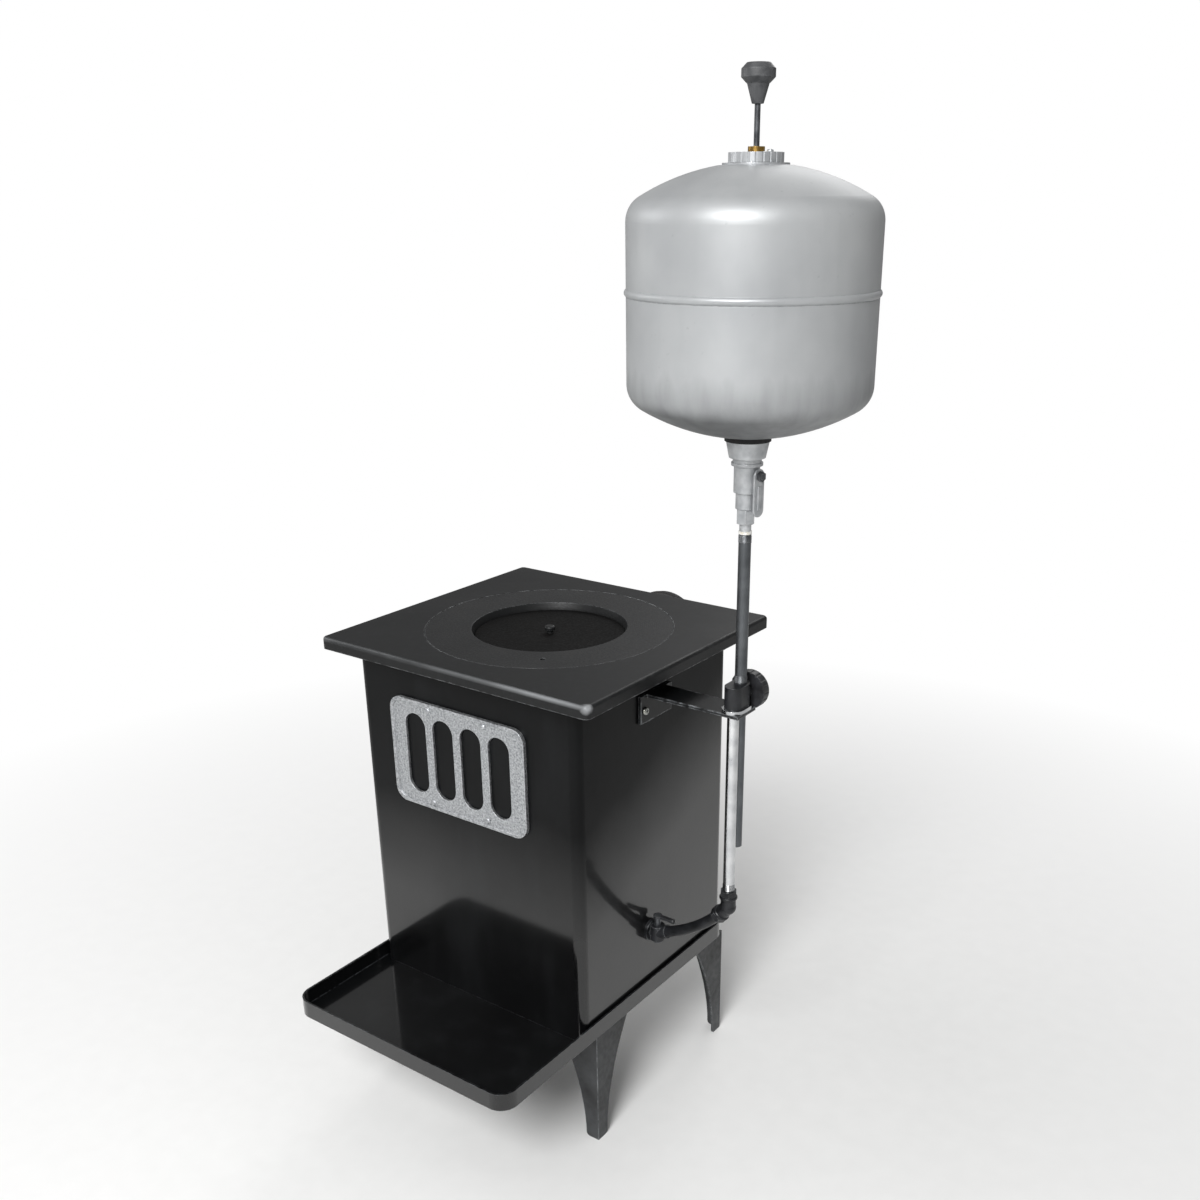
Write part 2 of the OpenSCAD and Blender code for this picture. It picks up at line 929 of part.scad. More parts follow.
module at_plaque_rivets() {
    for (s = [-1, 1], t = [-1, 1])
        translate([s * plaque_pitch - plaque_left, plaque_z + t * (plaque_h - plaque_frame_w) / 2, 0])
            children();
}

module plaque_rivets() {
    color("#8f9294") at_stove(0, body_front)
        rotate([90, 0, 0])
            at_plaque_rivets()
                translate([0, 0, plaque_t - plaque_border_t])
                    rivet(plaque_t - plaque_border_t + 2 * sheet_t);
}

// Burner
module burner_stand() {
    foot_ring = air_r + stand_ring_w + stand_foot_r;
    color("#3b3c3e") at_stove(0, shell_mid) {
        translate([0, 0, pot_z - stand_ring_t])
            ring(foot_ring + stand_foot_r + over, foot_ring - stand_ring_w, stand_ring_t);
        for (i = [0 : stand_feet - 1])
            rotate([0, 0, i * 360 / stand_feet + 90])
                translate([foot_ring, 0, tray_floor])
                    cylinder(h = stand_h - stand_ring_t / 2, r = stand_foot_r);
    }
}

module burner_pot() {
    color("#4a4744") at_stove(0, shell_mid)
        difference() {
            union() {
                translate([0, 0, pot_z])
                    cylinder(h = pot_h, r = pot_r);
                translate([0, 0, pot_z + pot_h - pot_rim_t])
                    cylinder(h = pot_rim_t, r = pot_r + pot_rim_w);
            }
            translate([0, 0, pot_inside])
                cylinder(h = pot_h, r = pot_r - pot_t);
            translate([0, riser_y - shell_mid, inlet_h])
                rotate([0, 90, 0])
                    cylinder(h = pot_r + over, r = pot_pipe_r + shaft_play);
        }
}

module flame_sleeve() {
    row_gap = sleeve_h / (sleeve_rows + 1);
    color("#55524e") at_stove(0, shell_mid, pot_inside + play)
        difference() {
            ring(sleeve_r, sleeve_r - sleeve_t, sleeve_h);
            for (i = [1 : sleeve_rows], k = [0 : sleeve_columns - 1])
                rotate([0, 0, (k + 0.5 * (i % 2)) * 360 / sleeve_columns])
                    translate([sleeve_r - sleeve_t - over, 0, i * row_gap])
                        rotate([0, 90, 0])
                            cylinder(h = sleeve_t + 2 * over, r = sleeve_hole_r);
        }
}

module flame_cap() {
    spigot_r = sleeve_r - sleeve_t - play;
    color("#55524e") at_stove(0, shell_mid, sleeve_top)
        difference() {
            union() {
                cylinder(h = flame_cap_t, r = sleeve_r + flame_cap_w);
                translate([0, 0, -flame_cap_t])
                    cylinder(h = 2 * flame_cap_t, r = spigot_r);
            }
            translate([0, 0, -flame_cap_t - over])
                cylinder(h = 2 * flame_cap_t + 2 * over, r = flame_hole_r);
            translate([0, 0, -flame_cap_t - over])
                cylinder(h = flame_cap_t + over, r = spigot_r - flame_cap_t);
        }
}

// Inlet and feed line, which lie in the riser's plane
module at_inlet(x = 0) {
    at_stove(x, riser_y, inlet_h)
        children();
}

module pot_inlet_pipe() {
    pot_side = sqrt(pow(pot_r - pot_t, 2) - pow(riser_y - shell_mid, 2));
    start = pot_side - pot_t / 2;
    tail = body_side - sheet_t - shoulder - play;
    color("#b08d4a") at_inlet(start)
        rotate([0, 90, 0])
            ring(pot_pipe_r, pot_pipe_bore_r, tail - start);
}

module inlet_wall_nut() {
    color("#b08d4a") at_inlet(body_side - sheet_t - wall_nut_h)
        rotate([0, 90, 0])
            difference() {
                hexagon(wall_nut_r, wall_nut_h);
                translate([0, 0, -over])
                    cylinder(h = wall_nut_h + 2 * over, r = wall_thread_r + shaft_play);
            }
}

module inlet_fitting() {
    tail = sheet_t + wall_nut_h;
    color("#2b2c2e") at_inlet(body_side)
        difference() {
            union() {
                rotate([0, 90, 0]) {
                    cylinder(h = fitting_flange_t, r = fitting_flange_r);
                    translate([0, 0, -tail])
                        cylinder(h = tail + over, r = wall_thread_r);
                    cylinder(h = fitting_out, r = socket_r - shoulder);
                }
                translate([fitting_out, 0, 0]) {
                    translate([0, 0, -fitting_r])
                        cylinder(h = 2 * fitting_r, r = socket_r);
                    rotate([0, 90 - feed_slope + feed_bow, 0])
                        cylinder(h = socket_len, r = socket_r - shoulder / 2);
                }
            }
            translate([-tail - over, 0, 0])
                rotate([0, 90, 0]) {
                    cylinder(h = tail + fitting_out + over, r = cock_bore_r);
                    cylinder(h = wall_nut_h, r = pot_pipe_r + shaft_play);
                }
            translate([fitting_out, 0, 0]) {
                translate([0, 0, -fitting_r - over])
                    cylinder(h = 2 * fitting_r + 2 * over, r = cock_r + shaft_play);
                rotate([0, 90 - feed_slope + feed_bow, 0]) {
                    cylinder(h = socket_len + over, r = cock_bore_r);
                    translate([0, 0, feed_start - play])
                        cylinder(h = socket_len, r = pipe_r + play);
                }
            }
        }
}

module inlet_cock_plug() {
    color("#b9bbbd") at_inlet(inlet_x)
        difference() {
            union() {
                translate([0, 0, -fitting_r - play])
                    cylinder(h = 2 * fitting_r + cock_h, r = cock_r);
                translate([0, 0, -fitting_r - play - head_h])
                    cylinder(h = head_h, r = cock_r + head_h / 2);
            }
            rotate([0, 90, 0])
                cylinder(h = 2 * cock_r + 2 * over, r = cock_bore_r, center = true);
        }
}

module inlet_cock_lever() {
    hub_r = cock_r + cock_lever_t / 2;
    color("#2a2b2d") at_inlet(inlet_x)
        translate([0, 0, fitting_r + cock_h - cock_lever_t - play])
            difference() {
                union() {
                    cylinder(h = cock_lever_t, r = hub_r);
                    translate([0, -cock_lever_w / 2, 0])
                        cube([cock_lever_len, cock_lever_w, cock_lever_t]);
                    translate([cock_lever_len, 0, cock_lever_t / 2])
                        sphere(cock_tip_r);
                }
                translate([0, 0, -over])
                    cylinder(h = cock_lever_t + 2 * over, r = cock_r + shaft_play);
            }
}

// One even bend, laid out along the straight line from the cock to the elbow
module feed_pipe() {
    color("#3c3d40") at_inlet(inlet_x)
        rotate([0, -feed_slope, 0])
            translate([feed_len / 2, 0, feed_bend_r * cos(feed_bow) - feed_start * sin(feed_bow)])
                rotate([90, 0, 0])
                    rotate([0, 0, -90 - feed_bow])
                        rotate_extrude(angle = 2 * feed_bow)
                            translate([feed_bend_r, 0])
                                difference() {
                                    circle(pipe_r);
                                    circle(pipe_bore_r);
                                }
}

module at_elbow() {
    at_stove(stand_x, riser_y, elbow_h)
        children();
}

module feed_elbow() {
    color("#2b2c2e") at_elbow()
        difference() {
            union() {
                sphere(elbow_r);
                for (turn = [0, feed_end_turn])
                    rotate([0, turn, 0])
                        cylinder(h = socket_len, r = elbow_r - shoulder / 2);
            }
            for (turn = [0, feed_end_turn])
                rotate([0, turn, 0]) {
                    cylinder(h = socket_len + over, r = pipe_bore_r);
                    translate([0, 0, feed_start])
                        cylinder(h = socket_len, r = pipe_r + play);
                }
            sphere(pipe_bore_r + shoulder / 2);
        }
}

module pipe_nuts() {
    color("#2f3032") at_elbow()
        for (turn = [0, feed_end_turn])
            rotate([0, turn, 0])
                translate([0, 0, socket_len])
                    difference() {
                        hexagon(pipe_nut_r, pipe_nut_h);
                        translate([0, 0, -over])
                            cylinder(h = pipe_nut_h + 2 * over, r = pipe_r + 2 * play);
                    }
}

module riser_pipe() {
    color("#b7babc") at_elbow()
        translate([0, 0, feed_start])
            ring(pipe_r, pipe_bore_r, riser_len);
}

// Bracket and drip regulator
module bracket_arm() {
    arm_top = regulator_top - regulator_flange_t;
    middle = (stand_y + riser_y) / 2;
    color("#17181a") at_stove()
        difference() {
            union() {
                translate([body_side, middle - arm_w / 2, arm_top - arm_t])
                    cube([stand_out + arm_end, arm_w, arm_t]);
                translate([body_side, middle - arm_foot_w / 2, arm_top - arm_t - arm_foot_h])
                    cube([arm_t, arm_foot_w, arm_foot_h + arm_t]);
            }
            translate([0, 0, arm_top - arm_t - over])
                both_pipes()
                    cylinder(h = arm_t + 2 * over, r = pipe_r + play / 2);
            arm_screw_places()
                translate([0, 0, -over])
                    cylinder(h = arm_t + 2 * over, r = screw_r + play);
        }
}

module both_pipes() {
    for (y = [stand_y, riser_y])
        translate([stand_x, y, 0])
            children();
}

// A slab with round ends that spans both pipes
module pipe_slab(r, h) {
    both_pipes()
        cylinder(h = h, r = r);
    translate([stand_x - r, riser_y, 0])
        cube([2 * r, pipe_gap, h]);
}

module bracket_screws() {
    color("#8c8f92") at_stove()
        arm_screw_places()
            translate([0, 0, arm_t])
                pan_screw(arm_t + 3 * sheet_t);
}

module regulator_flange() {
    color("#c4c6c8") at_stove(z = regulator_top - regulator_flange_t)
        difference() {
            pipe_slab(regulator_flange_r, regulator_flange_t);
            translate([0, 0, -over])
                both_pipes()
                    cylinder(h = regulator_flange_t + 2 * over, r = pipe_r + shaft_play);
        }
}

module regulator_body() {
    color("#242527") at_stove()
        difference() {
            union() {
                translate([0, 0, regulator_top])
                    pipe_slab(regulator_r, regulator_h);
                translate([stand_x, stand_y, passage_z])
                    rotate([-90, 0, 0])
                        cylinder(h = regulator_r + gland_out, r = needle_gland_r);
            }
            translate([0, 0, regulator_top - over])
                both_pipes()
                    cylinder(h = pipe_seat_h + over, r = pipe_r + shaft_play);
            translate([stand_x, stand_y, regulator_top])
                cylinder(h = regulator_h, r = pipe_bore_r);
            translate([stand_x, stand_y, regulator_top + regulator_h - pipe_socket_h])
                cylinder(h = pipe_socket_h + over, r = pipe_r + shaft_play);
            translate([stand_x, riser_y, regulator_top])
                cylinder(h = passage_z - regulator_top + passage_r, r = pipe_bore_r);
            translate([stand_x, riser_y, passage_z])
                rotate([-90, 0, 0])
                    cylinder(h = pipe_gap, r = passage_r - shoulder);
            translate([stand_x, stand_y, passage_z])
                rotate([-90, 0, 0])
                    cylinder(h = regulator_r + gland_out + over, r = needle_r + shaft_play);
        }
}

module at_needle() {
    at_stove(stand_x, stand_y, passage_z)
        rotate([-90, 0, 0])
            children();
}

module regulator_needle() {
    reach = regulator_r + gland_out + play + regulator_knob_t;
    color("#b9bbbd") at_needle() {
        cylinder(h = reach - shoulder, r = needle_r);
        translate([0, 0, -needle_tip])
            cylinder(h = needle_tip, r1 = needle_r / 3, r2 = needle_r);
    }
}

module regulator_knob() {
    color("#2b2b2d") at_needle()
        translate([0, 0, regulator_r + gland_out + play])
            difference() {
                rotate_extrude()
                    rolled_outline(regulator_knob_r, regulator_knob_t, regulator_knob_t / 4);
                translate([0, 0, -over])
                    cylinder(h = regulator_knob_t, r = needle_r);
                for (i = [0 : knob_grips - 1])
                    rotate([0, 0, i * 360 / knob_grips])
                        translate([regulator_knob_r + knob_grip_r / 2, 0, -over])
                            cylinder(h = regulator_knob_t + 2 * over, r = knob_grip_r);
            }
}

// A closed tube that hangs below the regulator and keeps the dirt
module sediment_leg() {
    color("#7d8083") at_stand(regulator_top + pipe_seat_h - sediment_len)
        difference() {
            cylinder(h = sediment_len, r = pipe_r);
            translate([0, 0, sheet_t])
                cylinder(h = sediment_len, r = pipe_bore_r);
        }
}

module tank_pipe() {
    foot = regulator_top + regulator_h - pipe_socket_h;
    color("#8b8e91") at_stand(foot)
        ring(pipe_r, pipe_bore_r, stand_top_h - foot);
}

// Shut-off valve under the tank
module union_seal() {
    color("#dcdddc") at_stand(stand_top_h)
        ring(union_r, pipe_bore_r, union_h);
}

module valve_nozzle() {
    color("#6b6e71") at_stand(nozzle_z)
        ring(nozzle_r, pipe_bore_r, nozzle_h);
}

module valve_nut() {
    color("#9a9da0") at_stand(valve_nut_z)
        difference() {
            hexagon(valve_nut_r, valve_nut_h);
            translate([0, 0, -over])
                cylinder(h = valve_nut_h + 2 * over, r = pipe_bore_r);
        }
}

module at_valve_stem() {
    at_stand(stem_z)
        rotate([0, 0, lever_turn])
            rotate([0, 90, 0])
                children();
}

module valve_body() {
    neck_top = valve_top - valve_head_h;
    color("#8e9194") difference() {
        union() {
            at_stand(valve_z)
                cylinder(h = valve_h, r = valve_neck_r);
            at_stand(neck_top)
                rotate_extrude()
                    rolled_outline(valve_head_r, valve_head_h, shoulder);
        }
        at_stand(valve_z - over)
            cylinder(h = valve_h + 2 * over, r = pipe_bore_r);
        at_stand(stem_z)
            sphere(ball_r + shaft_play);
        at_valve_stem()
            cylinder(h = valve_head_r + over, r = stem_r + shaft_play);
    }
}

module valve_ball() {
    color("#c8cacb") at_stand(stem_z)
        difference() {
            sphere(ball_r);
            cylinder(h = 2 * ball_r + 2 * over, r = pipe_bore_r - shoulder, center = true);
            rotate([0, 0, lever_turn])
                translate([ball_r - tang_t, -ball_r, -tang_t / 2 - shaft_play])
                    cube([tang_t + over, 2 * ball_r, tang_t + 2 * shaft_play]);
        }
}

module valve_stem() {
    color("#b9bbbd") at_valve_stem() {
        translate([0, 0, ball_r])
            cylinder(h = stem_len - ball_r, r = stem_r);
        translate([-tang_t / 2, -stem_r / 2, ball_r - tang_t + shaft_play])
            cube([tang_t, stem_r, tang_t]);
    }
}

module valve_lever() {
    color("#1d1e20") at_valve_stem()
        translate([0, 0, stem_out])
            difference() {
                union() {
                    cylinder(h = lever_t, r = lever_w / 2);
                    translate([0, -lever_w / 2, 0])
                        cube([lever_len, lever_w, lever_t]);
                    translate([lever_len, 0, 0])
                        cylinder(h = lever_t, r = lever_w / 2);
                }
                translate([0, 0, -over])
                    cylinder(h = lever_t + 2 * over, r = stem_r);
            }
}

module lever_nut() {
    color("#b9bbbd") at_valve_stem()
        translate([0, 0, stem_out + lever_t])
            difference() {
                hexagon(stem_nut_r, stem_nut_h);
                translate([0, 0, -over])
                    cylinder(h = stem_nut_h + 2 * over, r = stem_r);
            }
}

module outlet_socket() {
    top = outlet_h + gasket_h + tank_t + outlet_nut_h;
    color("#c2c4c6") at_stand(valve_top)
        difference() {
            union() {
                cylinder(h = outlet_lip_h, r = outlet_lip_r);
                cylinder(h = outlet_neck_h, r = outlet_neck_r);
                translate([0, 0, outlet_neck_h])
                    cylinder(h = outlet_h - outlet_neck_h, r1 = outlet_low_r, r2 = outlet_r);
                cylinder(h = top, r = outlet_spigot_r);
            }
            translate([0, 0, -over])
                cylinder(h = top + 2 * over, r = pipe_bore_r);
        }
}

module outlet_gasket() {
    color("#161616") at_stand(gasket_z)
        ring(gasket_r, outlet_spigot_r + shaft_play, gasket_h);
}

module outlet_nut() {
    color("#c2c4c6") at_stand(tank_z + tank_t)
        difference() {
            hexagon(outlet_nut_r, outlet_nut_h);
            translate([0, 0, -over])
                cylinder(h = outlet_nut_h + 2 * over, r = outlet_spigot_r + shaft_play);
        }
}

// Tank: a straight side with rounded shoulders and domes that are cut flat
module tank_end_outline(inset) {
    knuckle_x = tank_r - knuckle_r;
    dome_deep = dome_r - dome_h;
    lean = dome_r / (dome_r - knuckle_r);
    intersection() {
        union() {
            translate([knuckle_x, 0])
                circle(knuckle_r - inset);
            square([knuckle_x, knuckle_r - inset]);
            intersection() {
                translate([0, -dome_deep])
                    circle(dome_r - inset);
                polygon([
                    [0, -dome_deep], [knuckle_x * lean, dome_deep * (lean - 1)],
                    [knuckle_x * lean, dome_h], [0, dome_h]
                ]);
            }
        }
        translate([0, -knuckle_r])
            square([tank_r, knuckle_r + dome_h - flat_drop - inset]);
    }
}

module tank_outline(inset) {
    translate([0, side_low])
        square([tank_r - inset, tank_side_h]);
    translate([0, side_high])
        tank_end_outline(inset);
    translate([0, side_low])
        mirror([0, 1])
            tank_end_outline(inset);
}

module tank_lower() {
    color("#b4b7ba") at_stand()
        difference() {
            rotate_extrude()
                difference() {
                    tank_outline(0);
                    tank_outline(tank_t);
                    translate([-over, joint_z])
                        square([tank_r + 2 * over, tank_top]);
                }
            translate([0, 0, tank_z - over])
                cylinder(h = tank_t + 2 * over, r = outlet_spigot_r + shaft_play);
        }
}

module tank_upper() {
    color("#babdc0") at_stand()
        difference() {
            union() {
                rotate_extrude()
                    difference() {
                        union() {
                            tank_outline(0);
                            translate([tank_r - bead_r / 2, joint_z + bead_r])
                                circle(bead_r);
                        }
                        tank_outline(tank_t);
                        square([tank_r + 2 * bead_r, joint_z]);
                    }
                translate([0, 0, joint_z - joint_lap])
                    ring(tank_r - tank_t - shell_fit, tank_r - 2 * tank_t, joint_lap);
                translate([0, 0, joint_z])
                    ring(tank_r - tank_t / 2, tank_r - 2 * tank_t, tank_t);
            }
            translate([0, 0, tank_top - tank_t - over])
                cylinder(h = tank_t + 2 * over, r = filler_r + neck_t + shell_fit);
        }
}

module filler_neck() {
    color("#c9cbcc") at_stand(tank_top)
        difference() {
            union() {
                cylinder(h = neck_flange_t, r = filler_r + neck_t + neck_flange_w);
                translate([0, 0, -neck_deep])
                    cylinder(h = neck_deep + neck_flange_t + neck_h, r = filler_r + neck_t);
            }
            translate([0, 0, -neck_deep - over])
                cylinder(h = neck_deep + cap_top, r = filler_r);
        }
}

module filler_cap() {
    color("#d6d8d9") at_stand(cap_base + play)
        difference() {
            cylinder(h = cap_h - play, r = cap_r);
            translate([0, 0, -over])
                cylinder(h = cap_h - play - cap_t + over, r = cap_r - cap_t);
            cylinder(h = cap_h + over, r = gland_r);
            for (i = [0 : cap_grips - 1])
                rotate([0, 0, i * 360 / cap_grips])
                    translate([cap_r + cap_grip_r / 2, 0, -over])
                        cylinder(h = cap_h + over, r = cap_grip_r);
        }
}

// Level gauge, which rises with its float
module gauge_gland() {
    color("#b08d4a") at_stand(cap_top - cap_t)
        ring(gland_r, rod_r + shaft_play, cap_t + gland_h);
}

module gauge_rod() {
    color("#8a8d90") at_stand(float_z)
        cylinder(h = rod_top + rod_in_knob - float_z, r = rod_r);
}

module gauge_knob() {
    neck_len = gauge_knob_h - knob_cap_h;
    color("#232427") at_stand(rod_top)
        difference() {
            union() {
                cylinder(h = neck_len, r1 = knob_foot_r, r2 = knob_neck_r);
                translate([0, 0, neck_len])
                    rotate_extrude()
                        polygon([
                            [0, 0], [gauge_knob_r - knob_chamfer, 0], [gauge_knob_r, knob_chamfer],
                            [gauge_knob_r, knob_cap_h - knob_chamfer],
                            [gauge_knob_r - knob_chamfer, knob_cap_h], [0, knob_cap_h]
                        ]);
            }
            translate([0, 0, -over])
                cylinder(h = rod_in_knob + over, r = rod_r);
        }
}

module gauge_float() {
    half = float_h / 2;
    color("#c99a4a") at_stand(float_z + half)
        difference() {
            for (s = [0, 1])
                mirror([0, 0, s])
                    rotate_extrude()
                        rolled_outline(float_r, half, half / 3);
            cylinder(h = float_h + 2 * over, r = rod_r, center = true);
        }
}

top_plate();
hob_ring();
hob_lid();
lid_knob();
body_shell();
back_panel();
back_panel_screws();
plate_screws();
hearth_tray();
one_leg(1, 1);  // leg_front_right
one_leg(-1, 1);  // leg_front_left
one_leg(1, -1);  // leg_back_right
one_leg(-1, -1);  // leg_back_left
leg_bolts();
leg_nuts();
flue_collar();
flue_rivets();
flue_baffle();
front_plaque();
plaque_rivets();
burner_stand();
burner_pot();
flame_sleeve();
flame_cap();
pot_inlet_pipe();
inlet_fitting();
inlet_wall_nut();
inlet_cock_plug();
inlet_cock_lever();
feed_pipe();
feed_elbow();
pipe_nuts();
riser_pipe();
bracket_arm();
bracket_screws();
regulator_flange();
regulator_body();
regulator_needle();
regulator_knob();
sediment_leg();
tank_pipe();
union_seal();
valve_nozzle();
valve_nut();
valve_body();
valve_ball();
valve_stem();
valve_lever();
lever_nut();
outlet_socket();
outlet_gasket();
outlet_nut();
tank_lower();
tank_upper();
filler_neck();
filler_cap();
gauge_gland();
gauge_rod();
gauge_knob();
gauge_float();
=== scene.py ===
# Diesel stove: a black sheet steel box with a hearth tray, a hob with a ring and a
# lid, and a silver fuel tank on its feed pipe, dressed for the photograph's view.
import math
import bpy
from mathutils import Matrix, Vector


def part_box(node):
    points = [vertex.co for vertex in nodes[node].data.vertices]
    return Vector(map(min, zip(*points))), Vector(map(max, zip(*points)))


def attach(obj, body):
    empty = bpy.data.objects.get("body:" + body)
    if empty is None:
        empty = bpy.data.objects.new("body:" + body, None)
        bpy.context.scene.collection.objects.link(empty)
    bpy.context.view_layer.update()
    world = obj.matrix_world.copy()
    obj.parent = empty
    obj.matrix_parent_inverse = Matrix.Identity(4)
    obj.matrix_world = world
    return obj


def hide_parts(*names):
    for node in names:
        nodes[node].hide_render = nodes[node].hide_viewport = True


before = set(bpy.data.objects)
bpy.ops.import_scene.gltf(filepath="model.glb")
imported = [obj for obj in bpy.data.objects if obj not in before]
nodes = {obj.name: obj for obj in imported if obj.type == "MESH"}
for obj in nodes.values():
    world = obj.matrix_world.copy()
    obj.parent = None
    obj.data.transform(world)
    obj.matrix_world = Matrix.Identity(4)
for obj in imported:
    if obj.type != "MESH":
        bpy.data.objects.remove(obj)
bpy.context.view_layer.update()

# Units
mm = 0.001

# Turns
to_rear = math.radians(-90)
to_front = math.radians(90)
to_right = math.radians(90)
to_left = math.radians(270)
sharp_turn = math.radians(30)
flat_turn = math.radians(1)

# Fineness of rounds and edges
turned_sides = 64
small_sides = 32
hole_sides = 24
bevel_samples = 4
merge_gap = 0.01 * mm

# Painted highlight along the plate's front arris, standing for the light its rolled edge catches: its
# width and depth, and the share of them at full strength
arris_highlight_wide = 7 * mm
arris_highlight_deep = 6 * mm
arris_highlight_full_share = 1 / 3

# Height of the line above which the enamel's gloss coat is taken away as painted shade for the plate's
# shadow on the upper walls, its slope to the rear, and the depth of the band over which it fades
shade_line = 440 * mm
shade_slope = 0.4
shade_band = 100 * mm

# Depth of the painted shade that darkens the tank's lower dome towards its foot
lower_shade_deep = 45 * mm

# Screws, with a cross recess
screw_r = 2.5 * mm
head_r = 5 * mm
head_top_r = 4 * mm
head_h = 3 * mm
head_edge = 1 * mm
head_soft = 0.8 * mm
recess_len = 5.6 * mm
recess_wide = 1.1 * mm
recess_deep = 1.6 * mm
shank_len = 6 * mm

# Six-sided nuts
nut_sides = 6
half_side = math.radians(180 / nut_sides)
nut_chamfer_share = 0.75
nut_soft = 0.25 * mm
leg_nut_r = 5.3 * mm
pipe_nut_r = 10.5 * mm
pipe_nut_h = 7 * mm
union_bore_share = 0.9

# Pipes, their threads and the elbow
pipe_r = 6.75 * mm
thread_pitch = 1.34 * mm
thread_deep = 0.5 * mm
thread_len = 10 * mm
elbow_r = 9.5 * mm
socket_len = 16 * mm
feed_bow = math.radians(15)
band_out = 1.2 * mm
band_h = 4.5 * mm
band_soft = 0.4 * mm

# Knob of the level gauge
knob_foot_r = 5.5 * mm
knob_neck_r = 10.5 * mm
knob_cap_h = 17 * mm
knob_chamfer = 5 * mm
knob_lip = 2 * mm
knob_dish = 1 * mm
knob_soft = 0.7 * mm

# Flue collar
flue_r = 55 * mm
flue_flange_w = 14 * mm
flue_bead_r = 1.8 * mm
flue_bead_in = 8 * mm
flue_bead_gap = 34 * mm
bead_sides = 12
bead_steps = 96
seam_wide = 7 * mm
seam_out = 0.9 * mm
seam_front_in = 6 * mm
seam_back_in = 1.5 * mm
seam_soft = seam_out / 2

# Rib of the valve's lever
lever_turn = math.radians(-12)
lever_w = 15 * mm
rib_wide = 5 * mm
rib_out = 0.9 * mm
rib_end_share = 2 / 3
rib_soft_share = 0.9

# Vent of the filler cap
vent_r = 3.2 * mm
vent_h = 2.5 * mm
vent_deep = 0.5 * mm
vent_soft = 0.8 * mm
vent_hole_r = 0.8 * mm
vent_off = 15 * mm

# Rounding of cut edges
leg_soft = 1.2 * mm
cast_soft = 1.1 * mm
plate_soft = 0.8 * mm

# Studio, in metres: where the floor starts and ends to fade into the backdrop, how far
# it reaches, and the lamps with their watts
fade_start = 0.45
fade_end = 1.7
floor_half = 40.0
room_light = 0.3
aim_place = (0, 0, 0.6)
key_place = (0.8, -2.5, 2.5)
key_wide = 1.4
key_power = 110
side_place = (-2.3, -0.8, 1.8)
side_wide = 1.2
side_power = 12
back_place = (-0.6, 2.4, 2.4)
back_wide = 1.4
back_power = 14

# Camera, fitted to the plate, body, tray, legs and pipe edges in the photograph
camera_place = (0.83675, -1.1112, 1.0976)
camera_tilt = 67.03
camera_lean = 0.212
camera_turn = 35.16
camera_lens = 37.96
camera_shift = (-0.033, 0.107)


# Axes that the round pieces share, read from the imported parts
def middle(node):
    """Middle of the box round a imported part."""
    low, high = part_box(node)
    return (low + high) / 2


hob_axis = middle("hob_lid")
tank_axis = middle("tank_upper")


# Colours
def linear(code):
    """Linear colour with full opacity from an sRGB hex code."""
    full = 255
    knee = 0.04045
    toe_slope = 12.92
    lift = 0.055
    power = 2.4
    steps = [int(code[i:i + 2], 16) / full for i in (1, 3, 5)]
    return [c / toe_slope if c <= knee else ((c + lift) / (1 + lift)) ** power for c in steps] + [1.0]


# Material helpers
def add(tree, kind, inputs=None, **settings):
    """Adds a node, sets its settings, and fills its inputs with values or links."""
    node = tree.nodes.new(kind)
    for name, value in settings.items():
        setattr(node, name, value)
    for name, value in (inputs or {}).items():
        if isinstance(value, bpy.types.NodeSocket):
            tree.links.new(value, node.inputs[name])
        else:
            node.inputs[name].default_value = value
    return node


def place_of(tree, centre=(0, 0, 0)):
    """Object coordinates, centred on a place."""
    where = add(tree, "ShaderNodeTexCoord").outputs["Object"]
    back = [-c for c in centre]
    return add(tree, "ShaderNodeMapping", {"Vector": where, "Location": back}).outputs["Vector"]


def patches(tree, where, wide, detail, stretch=(1, 1, 1)):
    """Cloudy pattern, with patches of the given width in metres."""
    drawn = add(tree, "ShaderNodeMapping", {"Vector": where, "Scale": stretch}).outputs["Vector"]
    values = {"Vector": drawn, "Scale": 1 / wide, "Detail": detail}
    return add(tree, "ShaderNodeTexNoise", values).outputs["Fac"]


def between(tree, value, low, high, start=0.0, end=1.0):
    """Stretches a value between two limits, clamped."""
    values = {"Value": value, "From Min": low, "From Max": high, "To Min": start, "To Max": end}
    return add(tree, "ShaderNodeMapRange", values).outputs["Result"]


def blend(tree, share, first, second):
    """Mixes two colours by a share."""
    values = {"Fac": share, "Color1": first, "Color2": second}
    return add(tree, "ShaderNodeMixRGB", values).outputs["Color"]


def joined(tree, first, second, way="MULTIPLY"):
    """Product of two values, or what another operation makes of them."""
    return add(tree, "ShaderNodeMath", {0: first, 1: second}, operation=way).outputs["Value"]


def worn_edges(tree, wide, patch):
    """Share that is high where a sharp edge has rubbed through in patches."""
    soft = add(tree, "ShaderNodeBevel", {"Radius": wide}, samples=bevel_samples).outputs["Normal"]
    flat = add(tree, "ShaderNodeNewGeometry").outputs["Normal"]
    near = add(tree, "ShaderNodeVectorMath", {0: soft, 1: flat}, operation="DOT_PRODUCT")
    edge = between(tree, near.outputs["Value"], low=0.995, high=0.86)
    return joined(tree, edge, between(tree, patch, low=0.38, high=0.62))


def relief(tree, heights, edge_r):
    """Bump from pairs of height and depth in metres, laid over softened edges."""
    normal = add(tree, "ShaderNodeBevel", {"Radius": edge_r}, samples=bevel_samples).outputs["Normal"]
    for height, depth in heights:
        values = {"Height": height, "Distance": depth, "Normal": normal}
        normal = add(tree, "ShaderNodeBump", values).outputs["Normal"]
    return normal


def begin(name):
    """New material with an empty node tree."""
    material = bpy.data.materials.new(name)
    material.use_nodes = True
    material.node_tree.nodes.clear()
    return material, material.node_tree


